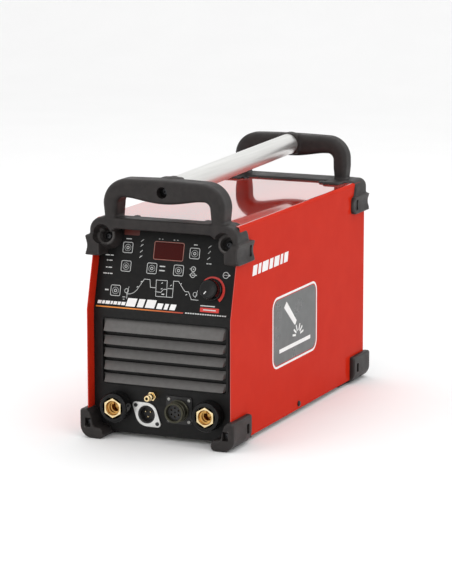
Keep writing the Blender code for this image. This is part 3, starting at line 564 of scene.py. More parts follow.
# A darker copy of the contacts' brass for the insides of the bores and the bottoms of the contact
# holes: painted shade in the recesses, not another metal.
shaded_bore_brass = surface(
    "shaded_bore_brass", (0.62, 0.36, 0.11), (0.42, 0.22, 0.06), 1200, (0.2, 0.34), 0.3, 1.0
)
BORE_STEPS = [
    (10.9, 1.2), (9.9, 2.6), (9.9, 5.0), (7.6, 5.6), (7.6, 8.2), (8.5, 8.8), (8.5, 11.5),
    (7.0, 12.2), (7.0, 24.0), (3.4, 25.0), (3.4, 17.0), (2.6, 16.0), (0.0, 16.0),
]
for hand in ("left", "right"):
    body, brass = f"weld_socket_body_{hand}", f"weld_socket_contact_{hand}"
    seat, out = front_seat(body)
    ring_profile = [
        (16.0, out - 0.6), (16.6, out), (19.6, out), (20.8, out - 0.5), (22.0, out - 2.0),
        (22.4, out - 4.0), (22.5, 1.6), (22.1, 0.4), (19.0, 0.3), (19.0, -17.5), (16.0, -18.0),
        (16.0, out - 0.6),
    ]
    ring = turned(f"weld_ring_{hand}", ring_profile, seat, 80)
    fitted(smooth(ring), "case", "gloss_moulding", gloss_black, body)
    face = PANEL_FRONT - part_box(brass)[0].y / MM
    mouth = [circle(0, 0, 10.9)]
    contact = plate(f"weld_contact_{hand}", hexagon(15.3, 30), -19, face, seat, mouth)
    fitted(smooth(eased(contact, 0.8)), "case", "brass", bright_brass, brass)
    # The bore lining and its key take the darker brass, painted shade inside the bore.
    bore_profile = [(radius, face - deep) for radius, deep in BORE_STEPS]
    lining = turned(f"weld_bore_{hand}", bore_profile, seat, 56)
    fitted(smooth(lining), "case", "brass", shaded_bore_brass)
    key = plate(f"weld_key_{hand}", rounded(0, 8.2, 1.6, 2.2, 0.5, 2), face - 12, face - 2.4, seat)
    fitted(smooth(eased(key, 0.3)), "case", "brass", shaded_bore_brass)

# ------------------------------------------------------------------ gas outlet
# A brass quick fitting for the torch's gas: a six-sided nut against the panel, a waist and
# a barbed mouth.

gas_seat, gas_out = front_seat("gas_outlet")
nut = plate("gas_nut", hexagon(7.3), 0.3, 8.6, gas_seat, [circle(0, 0, 3.6, 32)])
fitted(smooth(eased(nut, 0.6)), "case", "brass", bright_brass, "gas_outlet")
mouth_profile = [
    (2.3, gas_out - 8), (2.3, gas_out), (3.9, gas_out), (4.6, gas_out - 0.9),
    (4.8, gas_out - 3.2), (3.5, gas_out - 4.6), (3.3, gas_out - 7.2), (4.7, gas_out - 8.6),
    (5.3, gas_out - 9.6), (5.3, 11.0), (4.7, 9.8), (3.6, 8.2), (3.6, -13.0), (2.3, -13.0),
    (2.3, gas_out - 8),
]
mouth = turned("gas_mouth", mouth_profile, gas_seat, 40)
fitted(smooth(mouth), "case", "brass", bright_brass)

# ------------------------------------------------------------------ torch connector
# A two-hole diamond flange of plain aluminium, screwed over a black contact insert whose
# wall has keyways running into the cup.

bare_flange = surface(
    "bare_flange", (0.78, 0.78, 0.76), (0.66, 0.66, 0.64), 1100, (0.3, 0.44), 0.12, 1.0
)
black_nylon = surface(
    "black_nylon", (0.016, 0.015, 0.015), (0.009, 0.009, 0.009), 1300, (0.4, 0.55), 0.3
)


def raised(seat, out):
    return seat @ Matrix.Translation((0, 0, out))


torch_seat, _ = front_seat("torch_insert")
lean = 36.7 * DEGREES
flange_seat = seated(torch_seat.translation, (cos(lean), 0, -sin(lean)), (sin(lean), 0, cos(lean)))
REACH, BIG, SMALL = 21.7, 17.8, 5.2
side_lean = degrees(acos((BIG - SMALL) / REACH))
diamond = (
    arc(REACH, 0, SMALL, -side_lean, side_lean, 10)
    + arc(0, 0, BIG, side_lean, 180 - side_lean, 16)
    + arc(-REACH, 0, SMALL, 180 - side_lean, 180 + side_lean, 10)
    + arc(0, 0, BIG, 180 + side_lean, 360 - side_lean, 16)
)
flange_holes = [circle(0, 0, 13.7, 64), circle(REACH, 0, 2.3, 24), circle(-REACH, 0, 2.3, 24)]
flange = plate("torch_plate", diamond, 0.3, 2.4, flange_seat, flange_holes)
fitted(smooth(eased(flange, 0.3)), "case", "flange_plate", bare_flange, "torch_flange")
cup_profile = [
    (0, -9), (11.3, -9), (11.3, 1.0), (11.8, 1.6), (13.0, 1.6), (13.2, 1.2), (13.2, -16), (0, -16)
]
cup = turned("torch_cup", cup_profile, torch_seat)
fitted(smooth(cup), "case", "gloss_moulding", black_nylon, "torch_insert")
keyways = []
for number in range(12):
    angle = number * 30 * DEGREES
    way = Vector((cos(angle), sin(angle)))
    half = Vector((-way.y, way.x)) * (0.7 if number % 3 else 1.3)
    inner, outer = way * 10.6, way * 11.5
    keyways.append([tuple(p) for p in (inner - half, outer - half, outer + half, inner + half)])
ribs = bars("torch_ribs", keyways, raised(torch_seat, -9.2), 9.6)
fitted(ribs, "case", "gloss_moulding", black_nylon)
for number, (x, y) in enumerate(((-4, 3), (4, 3), (0, -4.5))):
    pin = turned(
        f"torch_pin_{number + 1}",
        [(0, 0.5), (0.7, 0.4), (1.0, 0), (1.0, -6.2), (0, -6.2)],
        torch_seat @ Matrix.Translation((x, y, -3)),
        20,
    )
    fitted(smooth(pin), "case", "brass", bright_brass)


def sunk_screw(name, seat, head, height, drive, material, *stands_for):
    """A pan-head screw with a six-sided socket, seated at the underside of its head."""
    profile = [
        (0, height * 0.45), (drive * 0.58, height * 0.45), (drive * 0.58, height),
        (head * 0.62, height), (head * 0.86, height * 0.86), (head * 0.97, height * 0.6),
        (head, height * 0.3), (head, 0), (0, 0),
    ]
    screw = turned(name, profile, seat, 36)
    return fitted(smooth(screw), "case", "zinc_plate", material, *stands_for)


def sunk_screws(name, seat, spots, *make):
    """Like screws at several spots on one seat."""
    for number, spot in enumerate(spots):
        sunk_screw(f"{name}_{number + 1}", seat @ Matrix.Translation(spot), *make)


dark_screw = surface(
    "dark_screw", (0.06, 0.06, 0.062), (0.03, 0.03, 0.032), 1500, (0.25, 0.4), 0.1, 1.0
)
flange_ears = [(-REACH, 0, 2.4), (REACH, 0, 2.4)]
sunk_screws("torch_plate_screw", flange_seat, flange_ears, 2.9, 1.2, 1.8, dark_screw)

# ------------------------------------------------------------------ remote connector
# A round olive-plated shell on a square flange, holding a black insert with six contact
# holes. Four small screws hold the flange.

olive_plate = surface(
    "olive_plate", (0.066, 0.062, 0.040), (0.044, 0.042, 0.027), 1000, (0.32, 0.46), 0.15, 0.6
)
remote_seat, _ = front_seat("remote_insert")
out = PANEL_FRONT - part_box("remote_shell")[0].y / MM
shell_profile = [
    (12.2, out - 0.4), (12.6, out), (14.4, out), (15.0, out - 0.6), (15.0, out - 4.5),
    (14.5, out - 5.0), (14.5, out - 6.0), (15.2, out - 6.6), (15.2, 7.0), (16.4, 6.0),
    (16.4, 2.2), (13.2, 2.2), (13.2, -14), (12.2, -14), (12.2, out - 0.4),
]
shell = turned("remote_ring", shell_profile, remote_seat, 72)
fitted(smooth(shell), "case", "olive_shell", olive_plate, "remote_shell")
square = rounded(0, 0, 20.5, 20.5, 3)
square = plate("remote_flange", square, 0.3, 2.3, remote_seat, [circle(0, 0, 13.4)])
fitted(smooth(eased(square, 0.4)), "case", "olive_shell", black_nylon)
holes = [circle(x, y, 1.45, 20) for x, y in hexagon(6.6, 30)] + [circle(0, 0, 1.2, 16)]
insert = plate("remote_face", circle(0, 0, 11.7, 56), 13.0, 16.0, remote_seat, holes)
fitted(smooth(eased(insert, 0.25)), "case", "gloss_moulding", black_nylon, "remote_insert")
core = turned("remote_core", [(0, 12.9), (11.6, 12.9), (11.6, -12), (0, -12)], remote_seat, 40)
fitted(smooth(core), "case", "gloss_moulding", satin_black)
# The contacts at the bottoms of the insert's holes take the darker brass, painted shade.
contacts = [circle(x, y, 0.7, 12) for x, y in hexagon(6.6, 30)]
contacts = bars("remote_contacts", contacts, raised(remote_seat, 12.95), 0.3)
fitted(contacts, "case", "brass", shaded_bore_brass)
flange_corners = [(x, up, 2.3) for up in (16, -16) for x in (-16, 16)]
sunk_screws("remote_screw", remote_seat, flange_corners, 2.5, 1.3, 1.6, zinc_sheet)

# ------------------------------------------------------------------ control overlay
# A printed polyester sheet over the slanted part of the panel: thin white lines, an orange
# to red stripe and a red scale round the knob. Signs only, no words.

OVERLAY_FACE = 0.9
UP_SLOPE = (0, sin(TILT), cos(TILT))
control_seat = seated((0, PANEL_FRONT, PANEL_BEND), (1, 0, 0), UP_SLOPE)


def on_slope(x, up, out=0.0):
    return control_seat @ Matrix.Translation((x, up, out))


def slope_centre(name):
    """Across, and up the slope, of the middle of a CAD piece on the slanted panel."""
    corners = [control_seat.inverted() @ (v.co / MM) for v in frame["nodes"][name].data.vertices]
    return [(min(c[i] for c in corners) + max(c[i] for c in corners)) / 2 for i in range(2)]


overlay_film = surface(
    "overlay_film", (0.009, 0.0085, 0.008), (0.006, 0.006, 0.006), 1800, (0.36, 0.46), 0.12,
    Specular_IOR_Level=0.14,
)
coat(overlay_film, "control_overlay")


def ink(name, light, dark, roughness=(0.35, 0.45)):
    return surface(name, light, dark, 900, roughness, 0.05)


def run_over(material, source, start, end, colour):
    """Takes a finish over to another colour while a source goes from start to end."""
    tree = material.node_tree
    share = node(tree, "ShaderNodeMapRange", From_Min=start, From_Max=end)
    tree.links.new(source, share.inputs["Value"])
    mix = tree.nodes.new("ShaderNodeMix")
    mix.data_type = "RGBA"
    mix.inputs[7].default_value = (*colour, 1)
    tree.links.new(share.outputs["Result"], mix.inputs[0])
    tree.links.new(tree.nodes["tint"].outputs["Color"], mix.inputs[6])
    tree.links.new(mix.outputs[2], tree.nodes["Principled BSDF"].inputs["Base Color"])


white_ink = ink("white_ink", (0.62, 0.63, 0.62), (0.52, 0.53, 0.52), (0.4, 0.5))
red_ink = ink("red_ink", (0.62, 0.03, 0.018), (0.52, 0.022, 0.014))
tab_ink = ink("tab_ink", (0.10, 0.012, 0.006), (0.08, 0.01, 0.005))
stripe_ink = ink("stripe_ink", (0.75, 0.25, 0.02), (0.65, 0.2, 0.015))
stripe_tree = stripe_ink.node_tree
place = stripe_tree.nodes.new("ShaderNodeTexCoord")
across = stripe_tree.nodes.new("ShaderNodeSeparateXYZ")
stripe_tree.links.new(place.outputs["Object"], across.inputs[0])
run_over(stripe_ink, across.outputs["X"], -0.06, 0.03, (0.42, 0.03, 0.012))

signs = []
for points in (
    [(-62, 18.4), (-62, 25.4), (-56.8, 25.6)],
    [(-56.8, 25.6), (-52, 27.6), (-47.2, 31.7), (-36.5, 49), (-27.5, 49), (-25.5, 37.6),
     (-17.1, 37.6)],
    [(-15.7, 25.2), (-17.3, 49.1), (0.4, 49.3), (1.6, 25.4)],
    [(-15.7, 25.2), (11.2, 25.5), (11.0, 38.1), (2.2, 38)],
    [(11.0, 38.1), (10.6, 49.4), (18.5, 49.7), (28, 38), (30.5, 35.7), (36, 35.6),
     (41.7, 24.7), (53, 24.6)],
    [(-17, 32.0), (-8.0, 31.6), (-4, 36.5), (2, 36.5)],
):
    signs += stroke(points, 0.75)
ticks = (-46.5, 36.8), (-40.6, 45.0), (22.8, 46.2), (7.0, 42.8), (33.0, 31.2), (-7.6, 45.2)
for x, up in (*ticks, (-7.4, 36.8)):
    signs += stroke([(x - 1.2, up - 0.8), (x + 1.2, up + 0.8)], 1.1)
for x, up, tall in ((-63.4, 29.8, 6.4), (46.8, 32.6, 6.0)):
    signs += stroke([(x + 0.6, up - 5), (x + 3.4, up + tall)], 0.7)
for x, up, radius, steps, width in (
    (-63.4, 29.8, 3.1, 24, 0.7), (46.8, 32.6, 3.1, 24, 0.7), (40, 69.2, 3.5, 28, 0.9),
    (40, 60.4, 3.5, 28, 0.9), (92.3, 63.9, 4.4, 32, 0.95),
):
    signs += stroke(circle(x, up, radius, steps), width, True)
signs += [[(97.2, 62.1), (99.9, 63.9), (97.2, 65.7)]]
for x, rows in (
    (-45.6, ((105.6, 3), (98.2, 4), (89.6, 3), (81.6, 4))),
    (63.0, ((103.6, 3), (95.6, 2), (86.6, 3))),
):
    for up, count in rows:
        signs += stroke([(x - 2.4, up - 2.2), (x - 0.6, up + (count - 3) * 1.1)], 0.8)
        signs += stroke([(x - 0.6, up - 0.4), (x + 1.6, up + 1.6)], 0.8)
for first, last, up, width in (
    (-69, -64.4, 20.4, 0.9), (-68, -65.4, 17.0, 0.9), (-6.6, -2.4, 29.0, 1.6),
    (34.4, 36.6, 69.2, 0.9), (38.8, 41.6, 69.2, 1.1), (34.4, 36.6, 60.4, 0.9),
    (38.8, 41.6, 60.4, 1.1), (43.6, 46.6, 60.4, 1.2), (89.8, 91.6, 63.9, 1.0),
    (92.8, 94.8, 63.9, 1.0), (59.8, 63.0, 78.6, 1.3), (64.2, 67.6, 78.6, 1.3),
    (-103.5, -96.6, 80.5, 1.5), (-95.2, -90.4, 80.5, 1.5), (-100.6, -98.0, 72.8, 1.5),
    (-96.6, -91.4, 72.8, 1.5), (-101.0, -98.2, 62.4, 1.5), (-96.8, -91.0, 62.4, 1.5),
    (-104.2, -98.4, 53.4, 1.5), (-97.2, -94.6, 53.4, 1.5), (-93.4, -89.0, 53.4, 1.5),
    (-98.6, -92.8, 29.2, 2.0), (-72.4, -63.6, 106.4, 1.3), (37.0, 43.0, 104.6, 1.3),
    (-20.0, -17.6, 109.4, 0.9), (-14.8, -12.8, 109.4, 0.9), (4.0, 6.4, 109.4, 0.9),
    (9.4, 11.6, 109.4, 0.9), (-14.2, -5.4, 69.6, 1.7), (-14.2, -5.4, 63.4, 1.7),
):
    signs += dash(first, last, up, width)
prints = on_slope(0, 0, OVERLAY_FACE)


def printed(name, loops, material, seat=prints):
    """Ink on the overlay's film."""
    return fitted(bars(name, loops, seat), "case", "overlay_film", material)


printed("panel_signs", signs, white_ink)

title, start = [], -109.0
for row in (
    ((6, 4.4, 7, 3.4, 5.6, 4.6, 6.2), 8.2, 13.0, 1.2, 1.3),
    ((15, 10, 15), 7.2, 19.4, 3.4, 3.2),
    ((9, 6, 9), 7.0, 15.4, 2.4, 3.0),
):
    made, start = bar_row(start, *row)
    title += made
printed("title_bars", title, white_vinyl)
dashes, _ = bar_row(34, [2.8] * 17, 3.7, 5.4, 0, 1.1)
printed("foot_dashes", dashes, white_ink)
stripe = [[(-110.7, 3.2), (30.3, 3.2), (31.3, 5.0), (-110.7, 5.0)]]
printed("orange_stripe", stripe, stripe_ink)
panel_tile = [rounded(72, 11.4, 15, 3.2, 1.0, 3)]
printed("panel_tile", panel_tile, red_ink)
tile_line = dash(62, 82, 11.4, 1.6) + dash(57, 80, 17.2, 1.5)
printed("panel_tile_line", tile_line, white_ink, raised(prints, 0.06))
knob_x, knob_up = slope_centre("encoder_knob")
SCALE_START, SCALE_TURN, SCALE_RADIUS = 205, 255, 17.2
crescent = []
for step in range(40):
    pair = []
    for angle in [SCALE_START - SCALE_TURN * (step + i) / 40 for i in (0, 1)]:
        wide = 0.9 + 3.6 * (SCALE_START - angle) / SCALE_TURN
        across, rise = cos(angle * DEGREES), sin(angle * DEGREES)
        for radius in (SCALE_RADIUS, SCALE_RADIUS + wide):
            pair.append((radius * across + knob_x, radius * rise + knob_up))
    crescent.append([pair[0], pair[2], pair[3], pair[1]])
printed("red_scale", crescent, red_ink)
tab = [rounded(-64.0, 119.4, 12.5, 7.4, 1.5, 3)]
printed("red_tab", tab, tab_ink)

# ------------------------------------------------------------------ display window
# A dark red acrylic lens over the number display, pressed into the panel's opening and edged
# with a thin printed line.

red_lens = surface(
    "red_lens", (0.055, 0.004, 0.003), (0.045, 0.003, 0.002), 120, (0.16, 0.24), 0.03,
    Specular_IOR_Level=0.08,
)
window_x, window_up = slope_centre("display_window")
window = on_slope(window_x, window_up)
lens = plate("display_lens", rounded(0, 0, 22.5, 12.0, 1.6, 5), -2.4, 1.15, window)
fitted(smooth(eased(lens, 0.35)), "case", "display_lens", red_lens, "display_window")
edge_line = stroke(rounded(window_x, window_up, 23.6, 13.1, 2.4, 5), 1.1, True)
pale_red_ink = ink("pale_red_ink", (0.34, 0.12, 0.09), (0.27, 0.09, 0.07), (0.4, 0.5))
printed("display_line", edge_line, pale_red_ink)

# ------------------------------------------------------------------ push buttons
# Six short-stroke keys that stand just out of the overlay, each with a slightly crowned cap
# and a printed frame, ring and dot.

key_plastic = surface(
    "key_plastic", (0.010, 0.010, 0.010), (0.007, 0.007, 0.007), 1500, (0.38, 0.5), 0.2,
    Specular_IOR_Level=0.18,
)
for name in sorted(frame["bodies"]):
    if not name.startswith("button_"):
        continue
    x, up = slope_centre(name)
    cap = plate(f"{name}_cap", rounded(0, 0, 8.7, 8.7, 3.0, 6), -3.8, 1.75, on_slope(x, up))
    fitted(smooth(eased(cap, 0.7, 3)), name, "black_moulding", key_plastic, name)
    lines = (
        stroke(rounded(0, 0, 7.7, 7.7, 2.2, 5), 0.85, True)
        + stroke(circle(0, -0.2, 4.9, 36), 0.42, True)
        + stroke(circle(0, -0.2, 1.9, 28), 0.85, True)
    )
    printed = bars(f"{name}_print", lines, on_slope(x, up, 1.76))
    fitted(printed, name, "black_moulding", white_ink)

# ------------------------------------------------------------------ knob
# A glossy black knob pushed on the encoder's shaft, its side finely fluted, with a white
# pointer line inlaid in the crown.

def fluted(obj, seat, depth, count, least, low, high):
    """Draws shallow flutes into the side of a turned piece."""
    inward = seat.inverted()
    for vert in obj.data.vertices:
        local = inward @ (vert.co / MM)
        if low < local.z < high and local.xy.length > least:
            local.xy *= 1 - depth * (0.5 + 0.5 * cos(atan2(local.y, local.x) * count))
            vert.co = seat @ local * MM
    return obj


knob_profile = [
    (0, 15.9), (9.5, 15.9), (10.6, 16.3), (12.0, 16.5), (13.3, 16.1), (14.1, 15.0), (14.5, 13.0),
    (14.9, 4.6), (15.9, 3.9), (16.0, 3.2), (16.0, 1.4), (3.4, 1.3), (3.4, 10.0), (0, 10.0),
]
knob_seat = on_slope(knob_x, knob_up)
knob = fluted(turned("knob", knob_profile, knob_seat, 120), knob_seat, 0.022, 24, 13, 4.2, 14.0)
fitted(smooth(knob, 0.8), "encoder", "gloss_moulding", gloss_black, "encoder_knob")
way = 233 * DEGREES
pointer = stroke([(radius * cos(way), radius * sin(way)) for radius in (4.2, 9.3)], 1.3)
pointer = bars("knob_pointer", pointer, on_slope(knob_x, knob_up, 15.92), 0.15)
fitted(pointer, "encoder", "gloss_moulding", white_vinyl)

# ------------------------------------------------------------------ bumpers and arches
# One moulding at each end, in a tough dark grey rubber-like nylon with a fine spark grain:
# a bar across the cover, shoulders with a sunk screw each, lugs that wrap the cover's sides
# and the arch that carries the tube. Its edges are well rounded and a little paler.


def moulded(name, pieces, voxel=1.5, passes=7):
    """Runs overlapping shapes together into one moulding with soft inner corners."""
    bm = bmesh.new()
    for piece in pieces:
        bm.from_mesh(piece.data)
        bpy.data.objects.remove(piece)
    body = bpy.data.objects.new(name, bpy.data.meshes.new(name))
    bm.to_mesh(body.data)
    bm.free()
    bpy.context.scene.collection.objects.link(body)
    remesh = body.modifiers.new("run together", "REMESH")
    remesh.mode = "VOXEL"
    remesh.voxel_size = voxel * MM
    soften = body.modifiers.new("soften", "SMOOTH")
    soften.factor = 0.5
    soften.iterations = passes
    return settled(body)


def rod(name, radius, low, high, seat, end_radius=None, steps=40):
    end_radius = radius if end_radius is None else end_radius
    return turned(name, [(0, low), (radius, low), (end_radius, high), (0, high)], seat, steps)


def block(name, low, high, round_by=0.0):
    middle = [(a + b) / 2 for a, b in zip(low, high)]
    x, y, z = [(b - a) / 2 for a, b in zip(low, high)]
    loop = [(-x, -y), (x, -y), (x, y), (-x, y)]
    whole = plate(name, loop, -z, z, Matrix.Translation(middle))
    return eased(whole, round_by, 3) if round_by else whole


def mould_shaded(obj):
    obj.data.shade_smooth()
    obj.data.set_sharp_from_angle(angle=0.75)
    return obj


def looking_rear(x, y, z):
    return seated((x, y, z), (-1, 0, 0), (0, 0, 1))


moulding = surface(
    "moulding", (0.024, 0.020, 0.019), (0.016, 0.0135, 0.013), 1300, (0.44, 0.58), 0.45,
    Specular_IOR_Level=0.28,
)
corners = moulding.node_tree.nodes.new("ShaderNodeNewGeometry").outputs["Pointiness"]
run_over(moulding, corners, 0.52, 0.6, (0.070, 0.064, 0.061))
ARCH_SIDE, ARCH_BAR = 97.0, 23.0
BAR_TOP, BOSS_X, BOSS_UP, BOSS_Z = 328.3, 97.0, (294 - PANEL_BEND) / cos(TILT), 294.0
TUBE_RADIUS = measured("carry_tube")[1].x
FRONT_ARCH = (CASE_FRONT + 15.0, CASE_FRONT + 55.0)
REAR_ARCH = (CASE_REAR - 37.0, CASE_REAR - 5.0)
tube_start = Vector((0, FRONT_ARCH[1] - 7.7, 370.4))
tube_end = Vector((0, REAR_ARCH[0] + 7.7, 382.0))
tube_way = (tube_end - tube_start).normalized()
tube_seat = seated(tube_start, (1, 0, 0), Vector((0, tube_way.z, -tube_way.y)))
if (tube_seat.to_3x3() @ Vector((0, 0, 1))).dot(tube_way) < 0:
    tube_seat = seated(tube_start, (-1, 0, 0), Vector((0, tube_way.z, -tube_way.y)))
TUBE_LENGTH = (tube_end - tube_start).length


def arch_loops(top):
    """Outer and inner edge of an arch; the grip hangs a little lower at its middle."""
    side, foot = ARCH_SIDE, BAR_TOP - 12
    outer = (
        [(side - 4, foot), (side - 1.5, 334), (side, 348)]
        + arc(side - 37, top - 37, 37, 6, 84, 12)
        + [(x, top + rise) for x, rise in ((40, 0.4), (20, 0.9), (0, 1.0), (-20, 0.9), (-40, 0.4))]
        + arc(-side + 37, top - 37, 37, 96, 174, 12)
        + [(-side, 348), (-side + 1.5, 334), (-side + 4, foot)]
    )
    inner_side, under = side - ARCH_BAR, top - 27.5
    belly = [(x, under - 7.0 * cos(x / 60 * pi / 2) ** 1.4) for x in range(54, -55, -6)]
    inner = (
        [(inner_side + 3, foot), (inner_side, 348)]
        + arc(inner_side - 10, under - 10, 10, 12, 84, 5)
        + belly
        + arc(-inner_side + 10, under - 10, 10, 96, 168, 5)
        + [(-inner_side, 348), (-inner_side - 3, foot)]
    )
    return outer + inner[::-1]


def shoulder_loop(low=312.0):
    """The bar across the top of the cover, running round into both shoulders."""
    right = [(76, low), (84, 306), (106, 305), (114, 308)] + arc(96.5, BAR_TOP - 20, 20, 4, 90, 8)
    return right + [(-x, z) for x, z in right[::-1]]


def lugs(y_low, y_high, z_low, z_high):
    """Blocks round the cover's corners, hollow-waisted between flared upper and lower lips."""
    lip, middle = (z_high - z_low) / 2, (z_high + z_low) / 2
    steps = [lip - 2 * lip * step / 14 for step in range(15)]
    waist = [(119.6 + 5.2 * abs(z / lip) ** 2.2, middle + z) for z in steps]
    made = []
    for side in (-1, 1):
        outline = [(side * x, z) for x, z in ((100, z_high), *waist, (100, z_low))]
        lug = along(f"lug_{side}", outline, y_low, y_high)
        ends = rounded((y_low + y_high) / 2, middle, (y_high - y_low) / 2 + 0.1, lip + 0.1, 7)
        combined(lug, plate("lug_ends", ends, -130, 130, looking_side(0)), "INTERSECT")
        made.append(eased(lug, 1.8, 3, 0.9))
    return made


def pockets(y, z):
    outlines = [(side, rounded(y * side, z, 5.2, 8.5, 4.0)) for side in (-1, 1)]
    return [plate("pocket", o, -4.5, 12, looking_side(123 * side, side)) for side, o in outlines]
def tube_holes(at, way):
    """Bore for the tube, clearance for its bolt and the sunk seat for the bolt's head."""
    spot = tube_seat @ Matrix.Translation((0, 0, at))
    far = sorted((-GAP * way, 60 * way))
    return [
        rod("bore", TUBE_RADIUS + GAP, *far, spot),
        rod("clearance", 4.4, *sorted((-60 * way, 10 * way)), spot, None, 24),
        rod("sink", 8.5, *sorted((-55 * way, -17 * way)), spot, None, 32),
    ]


def shoulder_end(side, near, far, lean, curve):
    """The rounded end of a shoulder, reaching back over the cover's edge down to its lug."""
    top = BAR_TOP - 0.2
    loop = [(84, 307), (107, 297), (118.4, 297)] + arc(118.4 - curve, top - curve, curve, 4, 90, 10)
    loop = [(x * side, z) for x, z in loop + [(84, top)]]
    end = along("shoulder_end", loop, min(near, far), max(near, far))
    edge = [(near, 270), (near, 345), (lean, 345), (lean, BAR_TOP), (far, 300), (far, 270)]
    combined(end, plate("edge", edge, -130, 130, looking_side(0)), "INTERSECT")
    return eased(end, 3, 3, 0.7)


SIDES = (-1, 1)
WITHIN = HALF_WIDTH - 0.7
front_boss = [on_slope(side * BOSS_X, BOSS_UP) for side in SIDES]
front_pieces = [
    eased(along("arch", arch_loops(386), *FRONT_ARCH), 8, 4, 0.9),
    eased(along("shoulders", shoulder_loop(), -253.6, -221.5), 4, 3, 0.9),
    rod("collar", 18.3, -4, 14, tube_seat),
    block("saddle", (-17.0, FRONT_ARCH[1] - 12, 354), (17.0, FRONT_ARCH[1] + 6, 388.2), 4),
    *[shoulder_end(s, CASE_FRONT + 16, CASE_FRONT + 63, CASE_FRONT + 54, 20.8) for s in SIDES],
    *[rod("boss", 18.6, -1, 20, spot, 14.4) for spot in front_boss],
    *lugs(CASE_FRONT + 9, CASE_FRONT + 74, 270.5, 301),
]
front_bumper = moulded("front_moulding", front_pieces)
panel_back = PANEL_FRONT - 1.4
slant_back = panel_back + (324.6 - PANEL_BEND) * tan(TILT)
behind_panel = [
    (panel_back, 100), (panel_back, PANEL_BEND), (slant_back, 324.6), (0, 324.6), (0, 100)
]
front_cutters = [
    folded_sheet("clearance", GAP),
    plate("inside", behind_panel, -WITHIN, WITHIN, looking_side(0)),
    *tube_holes(0, 1),
    *pockets(CASE_FRONT + 60, 286),
]
for spot in front_boss:
    front_cutters.append(rod("sink", 9.6, 8, 20.5, spot, 10.6))
    front_cutters.append(rod("clearing", 14.6, 19.6, 60, spot))
cut(front_bumper, *front_cutters)
fitted(mould_shaded(front_bumper), "case", "bumper_moulding", moulding, "front_bumper")

rear_pieces = [
    eased(along("arch", arch_loops(396), *REAR_ARCH), 8, 4, 0.9),
    eased(along("shoulders", shoulder_loop(), CASE_REAR - 48, CASE_REAR + 4.5), 4, 3, 0.9),
    rod("collar", 18.3, TUBE_LENGTH - 14, TUBE_LENGTH + 4, tube_seat),
    block("saddle", (-17.5, REAR_ARCH[0] - 7, 366), (17.5, REAR_ARCH[0] + 12, 399), 4),
    *[shoulder_end(side, CASE_REAR + 4, CASE_REAR - 51, CASE_REAR - 42, 13) for side in SIDES],
    *[
        rod("boss", 19.5, -20, -0.5, looking_front(side * BOSS_X, CASE_REAR - 15, BOSS_Z))
        for side in SIDES
    ],
    *[
        block("pad", (x - 15, CASE_REAR - 74, CASE_TOP - 4), (x + 15, CASE_REAR - 40, 329), 3)
        for x in (-86, 86)
    ],
    *lugs(CASE_REAR - 60, CASE_REAR + 8, 276.5, 304),
]
rear_bumper = moulded("rear_moulding", rear_pieces)
rear_cutters = [
    folded_sheet("clearance", GAP),
    block("inside", (-WITHIN, 0, 100), (WITHIN, CASE_REAR - 14.6, CASE_TOP - 1)),
    *tube_holes(TUBE_LENGTH, -1),
    *pockets(CASE_REAR - 44, 290.5),
]
for side in SIDES:
    spot = looking_rear(side * BOSS_X, CASE_REAR - 15, BOSS_Z)
    rear_cutters.append(rod("sink", 8.6, 10, 40, spot, 9.4))
cut(rear_bumper, *rear_cutters)
fitted(mould_shaded(rear_bumper), "case", "bumper_moulding", moulding, "rear_bumper")

cap_make = (5.4, 4.0, 3.2, dark_screw)
for side, hand in ((-1, "left"), (1, "right")):
    spot = on_slope(side * BOSS_X, BOSS_UP, 8)
    sunk_screw(f"front_cap_screw_{hand}", spot, *cap_make, f"front_bumper_screw_{hand}")
    spot = looking_rear(side * BOSS_X, CASE_REAR - 5, BOSS_Z)
    sunk_screw(f"rear_cap_screw_{hand}", spot, *cap_make, f"rear_bumper_screw_{hand}")

# ------------------------------------------------------------------ carrying tube
# Drawn aluminium tube, satin anodised, seated in a bore in each arch.
# A bolt through the arch into each end holds it.

satin_tube = surface(
    "satin_tube", (0.80, 0.80, 0.78), (0.72, 0.72, 0.70), 2600, (0.3, 0.4), 0.06, 0.85,
    (1, 0.03, 1),
)
wall, end = TUBE_RADIUS - 2, TUBE_LENGTH
tube_profile = [(wall, 0), (TUBE_RADIUS, 0), (TUBE_RADIUS, end), (wall, end), (wall, 0)]
tube = turned("tube", tube_profile, tube_seat, 96)
fitted(smooth(tube), "case", "carry_tube", satin_tube, "carry_tube")
for name, at, way in (("front_tube_bolt", 0, -1), ("rear_tube_bolt", TUBE_LENGTH, 1)):
    spot = raised(tube_seat, at + 17.6 * way)
    if way < 0:
        spot = spot @ Matrix.Rotation(pi, 4, "X")
    sunk_screw(f"{name}_head", spot, 6.4, 4.2, 3.0, dark_screw, name)

# ------------------------------------------------------------------ feet
# A moulded corner under each end: a curved block at the end face, a wall up the side of the
# cover and a pad below, in the same dark moulding, held by a screw in a square pocket.


